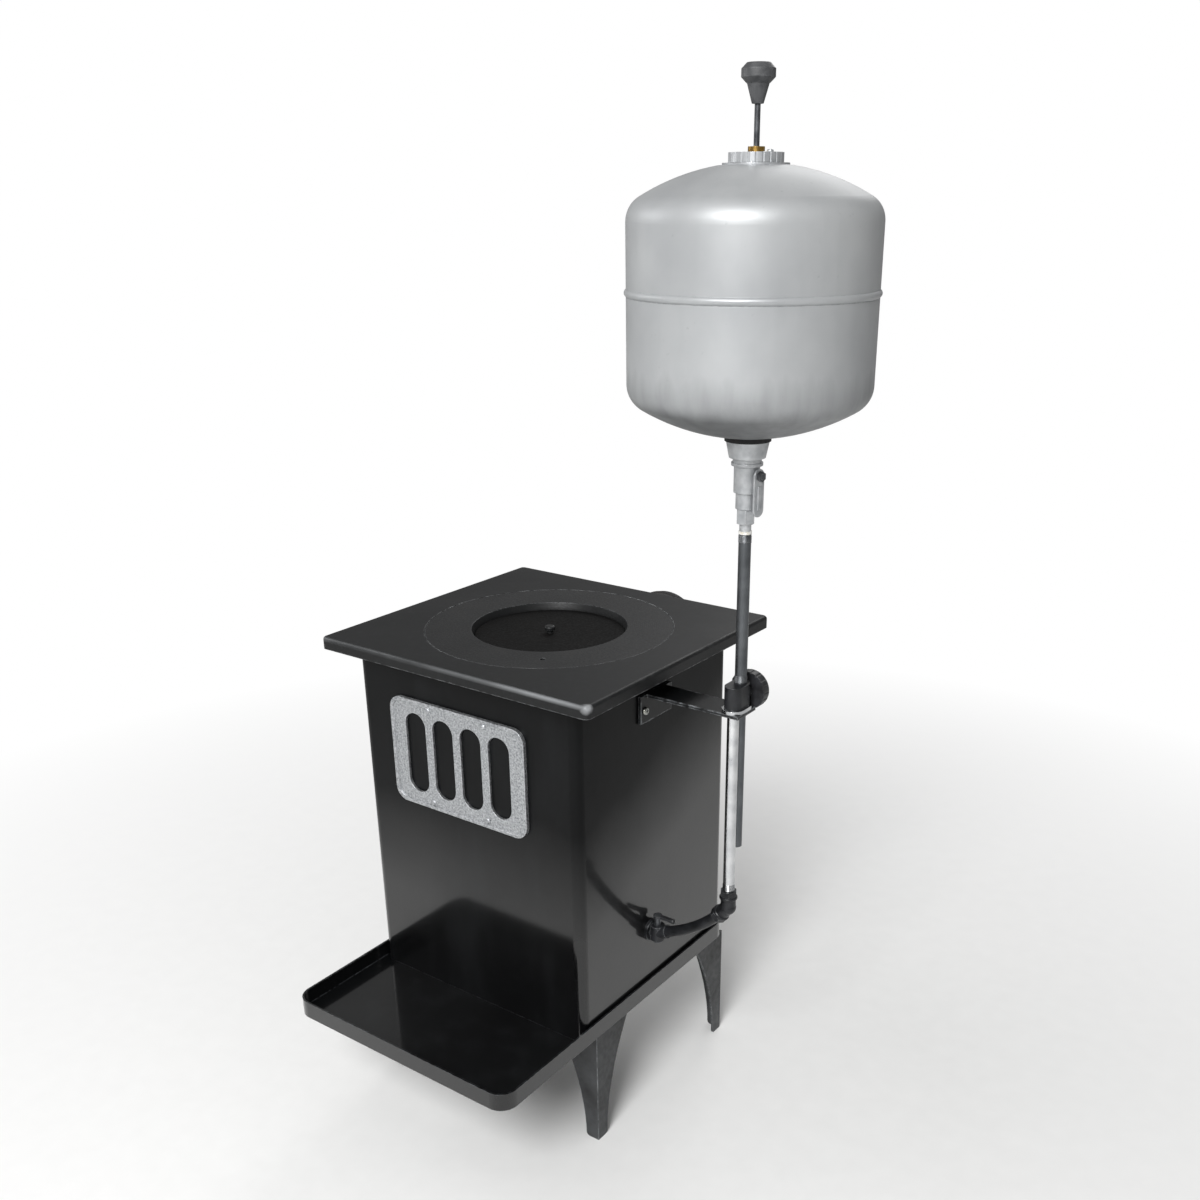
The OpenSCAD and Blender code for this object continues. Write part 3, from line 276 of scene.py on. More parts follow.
def close(material, shader):
    """Ends a material with its output."""
    add(material.node_tree, "ShaderNodeOutputMaterial", {"Surface": shader})
    return material


def surface(tree, colour, roughness, normal, **sockets):
    """Surface shader, with further sockets named by underscored words."""
    values = {"Base Color": colour, "Roughness": roughness, "Normal": normal}
    values.update({name.replace("_", " "): value for name, value in sockets.items()})
    return add(tree, "ShaderNodeBsdfPrincipled", values).outputs["BSDF"]


def handled(name, sizes, tones, rough, detail=5.0, **sockets):
    """Finish of a small piece that is handled: stains in two tones, a fine grain, and edges
    rubbed to a third tone. Its roughness goes from the first value to the second one
    where the stains are thick."""
    stain_wide, grain_wide, edge_wide, grain_deep, edge_r = sizes
    clean, stained, rubbed = [linear(tone) for tone in tones]
    material, tree = begin(name)
    where = place_of(tree)
    stain = patches(tree, where, stain_wide, detail=detail)
    grain = patches(tree, where, grain_wide, detail=3.0)
    worn = worn_edges(tree, edge_wide, stain)
    skin = blend(tree, between(tree, stain, low=0.35, high=0.7), clean, stained)
    colour = blend(tree, worn, skin, rubbed)
    roughness = between(tree, stain, low=0.3, high=0.7, start=rough[0], end=rough[1])
    normal = relief(tree, [(grain, grain_deep)], edge_r)
    return close(material, surface(tree, colour, roughness, normal, **sockets))


def gloss_enamel():
    """Black stove enamel sprayed on rolled sheet: deep gloss, a faint orange peel, wipe
    marks and grey dust, painted shade below the hob where the gloss coat is taken away, and steel along
    the edges."""
    cloud_wide = 160 * mm
    wipe_wide = 40 * mm
    speck_wide = 7 * mm
    peel_wide = 5 * mm
    edge_wide = 1.6 * mm
    cloud_deep = 0.6 * mm
    peel_deep = 0.02 * mm
    edge_r = 1.2 * mm
    material, tree = begin("black stove enamel sprayed on rolled sheet")
    where = place_of(tree)
    cloud = patches(tree, where, cloud_wide, detail=6.0)
    wipe = patches(tree, where, wipe_wide, detail=6.0, stretch=(1, 1, 0.25))
    speck = patches(tree, where, speck_wide, detail=3.0)
    peel = patches(tree, where, peel_wide, detail=2.0)
    worn = worn_edges(tree, edge_wide, speck)
    black = blend(tree, between(tree, cloud, low=0.35, high=0.7), linear("#060607"), linear("#0d0e0f"))
    dusty = blend(tree, between(tree, wipe, low=0.5, high=0.95, end=0.25), black, linear("#303234"))
    colour = blend(tree, worn, dusty, linear("#54575a"))
    # Painted shade: above a line that climbs towards the rear, the gloss coat is taken away so that the
    # upper walls under the plate go dark as in the plate's shadow; below the line the coat stays
    split = add(tree, "ShaderNodeSeparateXYZ", {"Vector": where}).outputs
    back = joined(tree, split["Y"], shade_slope)
    above = joined(tree, joined(tree, split["Z"], back, "SUBTRACT"), shade_line, "SUBTRACT")
    ragged = joined(tree, above, joined(tree, cloud, shade_band), "ADD")
    unshaded_coat = between(tree, ragged, low=shade_band, high=-shade_band / 2)
    dull = between(tree, wipe, low=0.35, high=0.8, start=0.3, end=0.42)
    roughness = between(tree, worn, low=0, high=1, start=dull, end=0.42)
    normal = relief(tree, [(cloud, cloud_deep), (peel, peel_deep)], edge_r)
    enamel = {"Specular_IOR_Level": 0.12, "Coat_Weight": unshaded_coat, "Coat_Roughness": 0.1}
    return close(material, surface(tree, colour, roughness, normal, **enamel))


def ashy_black(tree, cloud, speck, ash):
    """Satin black in two depths, with ash dust where the specks are densest."""
    black = blend(tree, between(tree, cloud, low=0.3, high=0.7), linear("#0b0c0d"), linear("#151617"))
    return blend(tree, between(tree, speck, low=0.55, high=0.85, end=0.3), black, ash)


def satin_paint():
    """Heat-proof satin black on the bracket's pressed steel: a fine dry grain, grey ash
    dust in patches, and bright rubbed steel along the edges."""
    cloud_wide = 120 * mm
    grain_wide = 1.6 * mm
    speck_wide = 9 * mm
    edge_wide = 3 * mm
    cloud_deep = 0.4 * mm
    grain_deep = 0.12 * mm
    edge_r = 1.5 * mm
    material, tree = begin("heat-proof satin black on pressed steel plate")
    where = place_of(tree)
    cloud = patches(tree, where, cloud_wide, detail=6.0)
    grain = patches(tree, where, grain_wide, detail=3.0)
    speck = patches(tree, where, speck_wide, detail=4.0)
    worn = worn_edges(tree, edge_wide, speck)
    colour = blend(tree, worn, ashy_black(tree, cloud, speck, linear("#38393c")), linear("#96999c"))
    dull = between(tree, cloud, low=0.3, high=0.75, start=0.36, end=0.52)
    roughness = between(tree, worn, low=0, high=1, start=dull, end=0.3)
    normal = relief(tree, [(cloud, cloud_deep), (grain, grain_deep)], edge_r)
    return close(material, surface(tree, colour, roughness, normal, Specular_IOR_Level=0.3))


def plate_paint_with_highlight():
    """Top plate in heat-proof satin black: a fine dry grain, grey ash and steel rubbed
    through along the edges, with a painted highlight along the front arris and a painted highlight spot on
    the front right corner."""
    cloud_wide = 120 * mm
    grain_wide = 1.6 * mm
    speck_wide = 9 * mm
    highlight_streak_wide = 60 * mm
    rim_r = 5 * mm
    corner_highlight_far = 15 * mm
    corner_highlight_near = 9 * mm
    edge_wide = 2 * mm
    cloud_deep = 0.4 * mm
    grain_deep = 0.12 * mm
    edge_r = 1.5 * mm
    material, tree = begin("heat-proof satin black on pressed plate, rubbed in front")
    where = place_of(tree)
    cloud = patches(tree, where, cloud_wide, detail=6.0)
    grain = patches(tree, where, grain_wide, detail=3.0)
    speck = patches(tree, where, speck_wide, detail=4.0)
    highlight_streaks = patches(tree, where, highlight_streak_wide, detail=5.0, stretch=(0.3, 1, 1))
    low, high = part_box("top_plate")
    soft = add(tree, "ShaderNodeBevel", {"Radius": rim_r}, samples=bevel_samples).outputs["Normal"]
    tilt = add(tree, "ShaderNodeSeparateXYZ", {"Vector": soft}).outputs
    split = add(tree, "ShaderNodeSeparateXYZ", {"Vector": where}).outputs
    # Painted highlight: a light band on the rounded top of the front arris, standing for the light that
    # the rolled edge catches, broken into streaks along its length; rubbed holds this band
    front = between(tree, split["Y"], low=low.y + arris_highlight_wide, high=low.y + arris_highlight_wide * arris_highlight_full_share)
    upper = between(tree, split["Z"], low=high.z - arris_highlight_deep, high=high.z - arris_highlight_deep * arris_highlight_full_share)
    turned_edge = between(tree, tilt["Z"], low=0.97, high=0.8)
    rubbed = joined(tree, joined(tree, front, upper), turned_edge)
    painted_arris_highlight = joined(tree, rubbed, between(tree, highlight_streaks, low=0.3, high=0.65, start=0.1, end=0.8))
    # Painted highlight: a bright spot with a ragged edge round the front right corner of the plate
    corner = place_of(tree, (high.x, low.y, high.z))
    away = add(tree, "ShaderNodeVectorMath", {0: corner}, operation="LENGTH").outputs["Value"]
    ragged = joined(tree, away, joined(tree, speck, arris_highlight_wide), "ADD")
    painted_corner_highlight = between(tree, ragged, low=corner_highlight_far, high=corner_highlight_near)
    # Steel rubbed through along the edges, with the painted arris and corner highlights laid over it, all
    # in the light grey below
    worn = joined(tree, worn_edges(tree, edge_wide, speck), painted_arris_highlight, "MAXIMUM")
    wear_and_highlight = joined(tree, worn, painted_corner_highlight, "MAXIMUM")
    colour = blend(tree, wear_and_highlight, ashy_black(tree, cloud, speck, linear("#303134")), linear("#8d8f91"))
    dull = between(tree, cloud, low=0.3, high=0.75, start=0.36, end=0.52)
    roughness = between(tree, wear_and_highlight, low=0, high=1, start=dull, end=0.3)
    normal = relief(tree, [(cloud, cloud_deep), (grain, grain_deep)], edge_r)
    return close(material, surface(tree, colour, roughness, normal, Specular_IOR_Level=0.3))


def dusty_paint():
    """Satin black on the legs: thin paint gone grey with floor dust, more of it towards
    the feet, and steel that shows along the arris."""
    dust_top = 160 * mm
    cloud_wide = 50 * mm
    grain_wide = 1.6 * mm
    speck_wide = 7 * mm
    edge_wide = 2.4 * mm
    cloud_deep = 0.3 * mm
    grain_deep = 0.12 * mm
    edge_r = 1.2 * mm
    material, tree = begin("thin satin black with floor dust")
    where = place_of(tree)
    cloud = patches(tree, where, cloud_wide, detail=6.0)
    grain = patches(tree, where, grain_wide, detail=3.0)
    speck = patches(tree, where, speck_wide, detail=5.0)
    worn = worn_edges(tree, edge_wide, speck)
    height = add(tree, "ShaderNodeSeparateXYZ", {"Vector": where}).outputs["Z"]
    low_down = between(tree, height, low=dust_top, high=0, start=0.35, end=0.9)
    black = blend(tree, between(tree, cloud, low=0.3, high=0.7), linear("#141516"), linear("#202123"))
    dust = joined(tree, low_down, between(tree, cloud, low=0.3, high=0.75))
    dusty = blend(tree, dust, black, linear("#4c4e50"))
    colour = blend(tree, worn, dusty, linear("#8b8e90"))
    roughness = between(tree, speck, low=0.3, high=0.75, start=0.36, end=0.6)
    normal = relief(tree, [(cloud, cloud_deep), (grain, grain_deep)], edge_r)
    return close(material, surface(tree, colour, roughness, normal, Specular_IOR_Level=0.4))


def blacked_iron():
    """Cast iron rubbed with stove blacking: turned rings round the hob's axis, a soft
    graphite sheen, sand grain, and a brown heat tint in patches."""
    cloud_wide = 55 * mm
    grain_wide = 2.2 * mm
    edge_wide = 1.5 * mm
    turned_deep = 0.05 * mm
    grain_deep = 0.15 * mm
    edge_r = 1.2 * mm
    material, tree = begin("turned cast iron with graphite blacking")
    where = place_of(tree, hob_axis)
    cloud = patches(tree, where, cloud_wide, detail=6.0)
    grain = patches(tree, where, grain_wide, detail=4.0)
    # The real tool marks are half a millimetre apart; they are drawn coarser to show
    ring_gap = 2.4 * mm
    wave_share = 0.314
    values = {"Vector": where, "Scale": wave_share / ring_gap, "Distortion": 0.6, "Detail": 2.0}
    turned = add(tree, "ShaderNodeTexWave", values, wave_type="RINGS", rings_direction="Z")
    worn = worn_edges(tree, edge_wide, grain)
    iron = blend(tree, between(tree, cloud, low=0.3, high=0.75), linear("#0e0f10"), linear("#1a1b1c"))
    burnt = blend(tree, between(tree, cloud, low=0.58, high=0.8, end=0.4), iron, linear("#241e1a"))
    colour = blend(tree, worn, burnt, linear("#7a7c7f"))
    roughness = between(tree, grain, low=0.3, high=0.75, start=0.38, end=0.58)
    heights = [(turned.outputs["Fac"], turned_deep), (grain, grain_deep)]
    normal = relief(tree, heights, edge_r)
    return close(material, surface(tree, colour, roughness, normal, Metallic=0.2))


def burnt_iron():
    """Cast lid over the flame: blacking burnt to a dry sooty black, with brown scale in
    patches, a coarse sand skin and turned rings that hardly show."""
    cloud_wide = 40 * mm
    grain_wide = 2.6 * mm
    edge_wide = 1.2 * mm
    cloud_deep = 0.3 * mm
    grain_deep = 0.25 * mm
    edge_r = 1.2 * mm
    material, tree = begin("dry burnt cast iron of the lid")
    where = place_of(tree, hob_axis)
    cloud = patches(tree, where, cloud_wide, detail=6.0)
    grain = patches(tree, where, grain_wide, detail=5.0)
    worn = worn_edges(tree, edge_wide, cloud)
    soot = blend(tree, between(tree, cloud, low=0.35, high=0.7), linear("#060606"), linear("#0c0b0b"))
    scaled = blend(tree, between(tree, grain, low=0.55, high=0.75, end=0.5), soot, linear("#16120f"))
    colour = blend(tree, worn, scaled, linear("#4a4a4b"))
    roughness = between(tree, grain, low=0.3, high=0.7, start=0.55, end=0.8)
    normal = relief(tree, [(cloud, cloud_deep), (grain, grain_deep)], edge_r)
    return close(material, surface(tree, colour, roughness, normal, Specular_IOR_Level=0.12))


def sooty_steel():
    """Heat-stained mild steel of the burner: straw and blue tints under a coat of dry
    soot, with a scaly rough face."""
    cloud_wide = 30 * mm
    scale_wide = 3 * mm
    scale_deep = 0.35 * mm
    edge_r = 0.8 * mm
    material, tree = begin("heat-stained burner steel with soot")
    where = place_of(tree)
    cloud = patches(tree, where, cloud_wide, detail=6.0)
    scale = patches(tree, where, scale_wide, detail=5.0)
    tint = blend(tree, between(tree, cloud, low=0.35, high=0.65), linear("#5a4a3c"), linear("#3f434e"))
    colour = blend(tree, between(tree, scale, low=0.4, high=0.62), tint, linear("#191817"))
    roughness = between(tree, scale, low=0.3, high=0.7, start=0.5, end=0.85)
    normal = relief(tree, [(scale, scale_deep)], edge_r)
    return close(material, surface(tree, colour, roughness, normal, Metallic=0.6))


def flue_paint():
    """Matt black flue paint on thin rolled steel: chalky, with brown scorched patches
    and a film of soot towards the open end."""
    cloud_wide = 45 * mm
    grain_wide = 1.8 * mm
    edge_wide = 1.2 * mm
    grain_deep = 0.14 * mm
    edge_r = 0.8 * mm
    material, tree = begin("matt flue paint on thin steel")
    where = place_of(tree)
    cloud = patches(tree, where, cloud_wide, detail=6.0)
    grain = patches(tree, where, grain_wide, detail=4.0)
    worn = worn_edges(tree, edge_wide, grain)
    matt = blend(tree, between(tree, cloud, low=0.35, high=0.7), linear("#1c1c1d"), linear("#302e2d"))
    scorched = blend(tree, between(tree, cloud, low=0.6, high=0.8, end=0.5), matt, linear("#45372d"))
    colour = blend(tree, worn, scorched, linear("#6f7173"))
    roughness = between(tree, grain, low=0.3, high=0.7, start=0.55, end=0.78)
    normal = relief(tree, [(grain, grain_deep)], edge_r)
    return close(material, surface(tree, colour, roughness, normal))


def zinc_plate():
    """Bright zinc plating on screws and bolts: a light metal with a straw cast and dull
    white bloom in the corners."""
    bloom_wide = 4 * mm
    grain_wide = 1 * mm
    grain_deep = 0.05 * mm
    edge_r = 0.4 * mm
    material, tree = begin("bright zinc plating on steel screws")
    where = place_of(tree)
    bloom = patches(tree, where, bloom_wide, detail=5.0)
    grain = patches(tree, where, grain_wide, detail=3.0)
    plated = blend(tree, between(tree, bloom, low=0.3, high=0.7), linear("#b9b8ae"), linear("#8f9398"))
    colour = blend(tree, between(tree, grain, low=0.6, high=0.8, end=0.5), plated, linear("#6b6459"))
    roughness = between(tree, bloom, low=0.3, high=0.7, start=0.24, end=0.48)
    normal = relief(tree, [(grain, grain_deep)], edge_r)
    return close(material, surface(tree, colour, roughness, normal, Metallic=1.0))


def cast_aluminium():
    """Sand-cast aluminium: a bright, coarse sparkling skin with dark pits, and smooth
    rubbed edges."""
    pit_wide = 3.2 * mm
    sand_wide = 2.4 * mm
    cloud_wide = 26 * mm
    edge_wide = 1.6 * mm
    sand_deep = 0.4 * mm
    pits_deep = 0.2 * mm
    edge_r = 1.2 * mm
    material, tree = begin("sand-cast aluminium")
    where = place_of(tree)
    sand = patches(tree, where, sand_wide, detail=5.0)
    cloud = patches(tree, where, cloud_wide, detail=4.0)
    pits = add(tree, "ShaderNodeTexVoronoi", {"Vector": where, "Scale": 1 / pit_wide})
    worn = worn_edges(tree, edge_wide, cloud)
    skin = blend(tree, between(tree, sand, low=0.32, high=0.68), linear("#83868a"), linear("#d0d2d4"))
    pitted = between(tree, pits.outputs["Distance"], low=0.18, high=0.02, end=0.6)
    cast = blend(tree, pitted, skin, linear("#5b5e61"))
    colour = blend(tree, worn, cast, linear("#dfe1e3"))
    roughness = between(tree, sand, low=0.3, high=0.7, start=0.34, end=0.6)
    heights = [(sand, sand_deep), (pits.outputs["Distance"], pits_deep)]
    normal = relief(tree, heights, edge_r)
    return close(material, surface(tree, colour, roughness, normal, Metallic=0.85))


def bright_nickel():
    """Nickel plate polished on the tube: a near mirror with faint long scratches and
    finger haze."""
    haze_wide = 18 * mm
    scratch_wide = 1.2 * mm
    scratch_deep = 0.03 * mm
    edge_r = 0.5 * mm
    material, tree = begin("polished nickel plate on steel tube")
    where = place_of(tree)
    haze = patches(tree, where, haze_wide, detail=5.0)
    scratch = patches(tree, where, scratch_wide, detail=3.0, stretch=(1, 1, 0.06))
    colour = blend(tree, between(tree, haze, low=0.35, high=0.7), linear("#d9dadb"), linear("#b7b9bc"))
    roughness = between(tree, haze, low=0.3, high=0.75, start=0.12, end=0.3)
    normal = relief(tree, [(scratch, scratch_deep)], edge_r)
    return close(material, surface(tree, colour, roughness, normal, Metallic=1.0))


def drawn_steel():
    """Drawn steel tube with dulled zinc: an even grey with long draw lines, darker stains
    and a greasy film."""
    stain_wide = 22 * mm
    lines_wide = 1.4 * mm
    edge_wide = 0.8 * mm
    lines_deep = 0.05 * mm
    edge_r = 0.5 * mm
    material, tree = begin("drawn steel tube with dulled zinc")
    where = place_of(tree)
    stain = patches(tree, where, stain_wide, detail=6.0)
    lines = patches(tree, where, lines_wide, detail=3.0, stretch=(1, 1, 0.05))
    worn = worn_edges(tree, edge_wide, stain)
    grey = blend(tree, between(tree, stain, low=0.3, high=0.7), linear("#55585b"), linear("#6f7275"))
    colour = blend(tree, worn, grey, linear("#c3c5c7"))
    roughness = between(tree, stain, low=0.3, high=0.7, start=0.3, end=0.52)
    normal = relief(tree, [(lines, lines_deep)], edge_r)
    return close(material, surface(tree, colour, roughness, normal, Metallic=0.9))


def black_phosphate():
    """Phosphated and oiled fittings: a soft black with a dry crystal grain, an oily gloss
    in patches and bright corners."""
    oil_wide = 14 * mm
    grain_wide = 1 * mm
    edge_wide = 0.9 * mm
    grain_deep = 0.06 * mm
    edge_r = 0.6 * mm
    material, tree = begin("oiled black phosphate on steel fittings")
    where = place_of(tree)
    oil = patches(tree, where, oil_wide, detail=5.0)
    grain = patches(tree, where, grain_wide, detail=3.0)
    worn = worn_edges(tree, edge_wide, oil)
    black = blend(tree, between(tree, oil, low=0.35, high=0.7), linear("#17181a"), linear("#2a2b2e"))
    colour = blend(tree, worn, black, linear("#85888a"))
    roughness = between(tree, oil, low=0.35, high=0.7, start=0.28, end=0.5)
    normal = relief(tree, [(grain, grain_deep)], edge_r)
    return close(material, surface(tree, colour, roughness, normal, Metallic=0.3))


def yellow_brass():
    """Turned yellow brass gone dull: warm metal with brown tarnish in the hollows."""
    tarnish_wide = 8 * mm
    grain_wide = 1 * mm
    edge_wide = 0.8 * mm
    grain_deep = 0.04 * mm
    edge_r = 0.5 * mm
    sizes = (tarnish_wide, grain_wide, edge_wide, grain_deep, edge_r)
    tones = ("#b8954f", "#7a5c30", "#e0c27c")
    return handled("tarnished yellow brass", sizes, tones, (0.24, 0.46), Metallic=1.0)


def moulded_black():
    """Moulded phenolic plastic: warm black with a fine leather-like haze, and edges
    rubbed greyer by the hand."""
    haze_wide = 12 * mm
    grain_wide = 0.9 * mm
    edge_wide = 1.1 * mm
    grain_deep = 0.05 * mm
    edge_r = 0.9 * mm
    sizes = (haze_wide, grain_wide, edge_wide, grain_deep, edge_r)
    tones = ("#1e1e20", "#2d2e31", "#56585b")
    return handled("moulded black phenolic plastic", sizes, tones, (0.32, 0.5))


def faded_black():
    """Black moulded knob bleached by sun and fuel to a chalky grey, darker where the
    fingers hold it."""
    haze_wide = 9 * mm
    grain_wide = 0.9 * mm
    edge_wide = 1.1 * mm
    grain_deep = 0.06 * mm
    edge_r = 0.9 * mm
    sizes = (haze_wide, grain_wide, edge_wide, grain_deep, edge_r)
    tones = ("#3c3d3f", "#545557", "#77797b")
    return handled("faded black phenolic plastic", sizes, tones, (0.42, 0.6))


def nitrile_rubber():
    """Nitrile rubber washer: dull black, swollen and slightly dusty."""
    dust_wide = 6 * mm
    grain_wide = 1.2 * mm
    grain_deep = 0.1 * mm
    edge_r = 0.8 * mm
    material, tree = begin("nitrile rubber")
    where = place_of(tree)
    dust = patches(tree, where, dust_wide, detail=5.0)
    grain = patches(tree, where, grain_wide, detail=3.0)
    colour = blend(tree, between(tree, dust, low=0.5, high=0.8), linear("#171718"), linear("#3a3a3a"))
    roughness = between(tree, dust, low=0.3, high=0.7, start=0.62, end=0.82)
    normal = relief(tree, [(grain, grain_deep)], edge_r)
    return close(material, surface(tree, colour, roughness, normal))


def white_fibre():
    """White fibre washer, slightly stained by fuel."""
    stain_wide = 4 * mm
    stain_deep = 0.1 * mm
    edge_r = 0.4 * mm
    material, tree = begin("white fibre washer")
    where = place_of(tree)
    stain = patches(tree, where, stain_wide, detail=5.0)
    colour = blend(tree, between(tree, stain, low=0.45, high=0.75), linear("#e3e2de"), linear("#c2bca9"))
    roughness = between(tree, stain, low=0.3, high=0.7, start=0.5, end=0.7)
    normal = relief(tree, [(stain, stain_deep)], edge_r)
    return close(material, surface(tree, colour, roughness, normal))


def silver_paint():
    """Aluminium paint on the spun tank: light satin grey with a fine flake, long soft
    brush clouds, long darker runs, painted shade darkening the lower dome towards the outlet, and a darker
    scuffed bead."""
    cloud_wide = 90 * mm
    runs_wide = 16 * mm
    flake_wide = 1.2 * mm
    speck_wide = 6 * mm
    edge_wide = 1.2 * mm
    cloud_deep = 0.4 * mm
    flake_deep = 0.03 * mm
    edge_r = 1.0 * mm
    material, tree = begin("aluminium paint on a spun steel tank")
    where = place_of(tree, tank_axis)
    cloud = patches(tree, where, cloud_wide, detail=6.0)
    runs = patches(tree, where, runs_wide, detail=5.0, stretch=(1, 1, 0.18))
    flake = patches(tree, where, flake_wide, detail=2.0)
    speck = patches(tree, where, speck_wide, detail=5.0)
    worn = worn_edges(tree, edge_wide, speck)
    pale = blend(tree, between(tree, cloud, low=0.3, high=0.7), linear("#a3a5a7"), linear("#b2b4b5"))
    grey = blend(tree, between(tree, runs, low=0.5, high=0.85, end=0.25), pale, linear("#9a9d9f"))
    spotted = blend(tree, between(tree, speck, low=0.68, high=0.8, end=0.4), grey, linear("#85888a"))
    # Painted shade: the paint goes dark towards the foot of the lower dome, with a ragged edge, standing
    # for the shade under the tank; film holds it
    height = add(tree, "ShaderNodeSeparateXYZ", {"Vector": place_of(tree)}).outputs["Z"]
    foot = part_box("tank_lower")[0].z
    ragged = joined(tree, height, joined(tree, runs, lower_shade_deep), "ADD")
    film = between(tree, ragged, low=foot + 2 * lower_shade_deep, high=foot)
    lower_shaded = blend(tree, film, spotted, linear("#36383a"))
    colour = blend(tree, worn, lower_shaded, linear("#8d9092"))
    roughness = between(tree, cloud, low=0.3, high=0.7, start=0.42, end=0.52)
    normal = relief(tree, [(cloud, cloud_deep), (flake, flake_deep)], edge_r)
    return close(material, surface(tree, colour, roughness, normal, Metallic=0.35))


def satin_chrome():
    """Dull chrome plate on cast brass: a soft light grey metal with a blurred sheen, a
    cast grain and darker stains round the joints."""
    stain_wide = 11 * mm
    grain_wide = 1.1 * mm
    edge_wide = 0.8 * mm
    grain_deep = 0.06 * mm
    edge_r = 0.7 * mm
    sizes = (stain_wide, grain_wide, edge_wide, grain_deep, edge_r)
    tones = ("#c6c8ca", "#a5a8ab", "#d2d4d5")
    return handled("dull chrome plate on cast brass", sizes, tones, (0.32, 0.48), detail=6.0, Metallic=0.6)


def blued_steel():
    """Blued steel: a dark grey metal with a soft oily sheen, browner where hands and heat
    have worked on it."""
    stain_wide = 9 * mm
    grain_wide = 1 * mm
    edge_wide = 0.8 * mm
    grain_deep = 0.05 * mm
    edge_r = 0.6 * mm
    sizes = (stain_wide, grain_wide, edge_wide, grain_deep, edge_r)
    tones = ("#4a4c4f", "#66686b", "#86898c")
    return handled("blued steel", sizes, tones, (0.3, 0.46), Metallic=0.7)


# Each finish, and the parts that have it
finishes = {
    gloss_enamel: ["body_shell", "back_panel", "hearth_tray"],
    plate_paint_with_highlight: ["top_plate"],
    satin_paint: ["bracket_arm"],
    dusty_paint: ["leg_front_right", "leg_front_left", "leg_back_right", "leg_back_left"],
    blacked_iron: ["hob_ring", "lid_knob"],
    burnt_iron: ["hob_lid"],
    sooty_steel: ["burner_stand", "burner_pot", "flame_sleeve", "flame_cap", "flue_baffle"],
    flue_paint: ["flue_collar", "flue_rivets"],
    zinc_plate: ["plate_screws", "leg_bolts", "leg_nuts"],
    satin_chrome: [
        "outlet_socket", "outlet_nut", "valve_nozzle", "valve_nut", "valve_body", "valve_lever",
        "filler_neck", "filler_cap",
    ],
    blued_steel: ["gauge_rod", "lever_nut", "inlet_cock_plug"],
    cast_aluminium: ["front_plaque", "plaque_rivets"],
    bright_nickel: ["riser_pipe", "regulator_flange", "valve_ball"],
    drawn_steel: ["sediment_leg", "tank_pipe", "valve_stem", "regulator_needle"],
    black_phosphate: [
        "inlet_fitting", "feed_pipe", "feed_elbow", "pipe_nuts", "regulator_body",
        "bracket_screws", "back_panel_screws",
    ],
    yellow_brass: ["pot_inlet_pipe", "inlet_wall_nut", "gauge_gland", "gauge_float"],
    moulded_black: ["regulator_knob", "inlet_cock_lever"],
    faded_black: ["gauge_knob"],
    nitrile_rubber: ["outlet_gasket"],
    white_fibre: ["union_seal"],
    silver_paint: ["tank_lower", "tank_upper"],
}
materials = {}
for make, parts in finishes.items():
    materials[make] = make()
    for part in parts:
        for holder in nodes[part].material_slots:
            holder.material = materials[make]


# Modelling helpers
def start():
    """Leaves nothing selected before a new piece begins."""
    bpy.ops.object.select_all(action="DESELECT")


def pick(piece):
    """Selects one piece alone and makes it the active one."""
    start()
    piece.select_set(True)
    bpy.context.view_layer.objects.active = piece


def turned(outline, sides=turned_sides):
    """Closed round piece about the Z axis, from steps of height and radius, foot first."""
    height, radius = outline[0]
    start()
    bpy.ops.mesh.primitive_circle_add(
        vertices=sides, radius=radius, fill_type="NGON", location=(0, 0, height)
    )
    bpy.ops.object.mode_set(mode="EDIT")
    for upper, wider in outline[1:]:
        lift = {"value": (0, 0, upper - height)}
        share = wider / radius
        bpy.ops.mesh.extrude_region_move(TRANSFORM_OT_translate=lift)
        bpy.ops.transform.resize(value=(share, share, 1), center_override=(0, 0, upper))
        height, radius = upper, wider
    bpy.ops.mesh.select_all(action="SELECT")
    bpy.ops.mesh.normals_make_consistent(inside=False)
    bpy.ops.object.mode_set(mode="OBJECT")
    bpy.ops.object.transform_apply(location=True, rotation=True, scale=True)
    return bpy.context.object


def box(low, high):
    """Box between two corners."""
    low, high = Vector(low), Vector(high)
    start()
    bpy.ops.mesh.primitive_cube_add(size=1, location=(low + high) / 2, scale=high - low)
    bpy.ops.object.transform_apply(location=True, rotation=True, scale=True)
    return bpy.context.object


def cut(piece, tool, way="DIFFERENCE"):
    """Cuts a piece with a tool piece, or keeps only what both share."""
    step = piece.modifiers.new("cut", "BOOLEAN")
    step.object = tool
    step.operation = way
    step.solver = "EXACT"
    pick(piece)
    bpy.ops.object.modifier_apply(modifier=step.name)
    bpy.data.objects.remove(tool)


def soften(piece, width, steps=2):
    """Rounds off the sharp edges and shades the rest smooth."""
    step = piece.modifiers.new("soft edges", "BEVEL")
    step.width = width
    step.segments = steps
    step.limit_method = "ANGLE"
    step.angle_limit = sharp_turn
    level = piece.modifiers.new("flat faces", "WEIGHTED_NORMAL")
    level.keep_sharp = True
    pick(piece)
    bpy.ops.object.modifier_apply(modifier=step.name)
    bpy.ops.object.shade_smooth_by_angle(angle=sharp_turn)
    bpy.ops.object.modifier_apply(modifier=level.name)


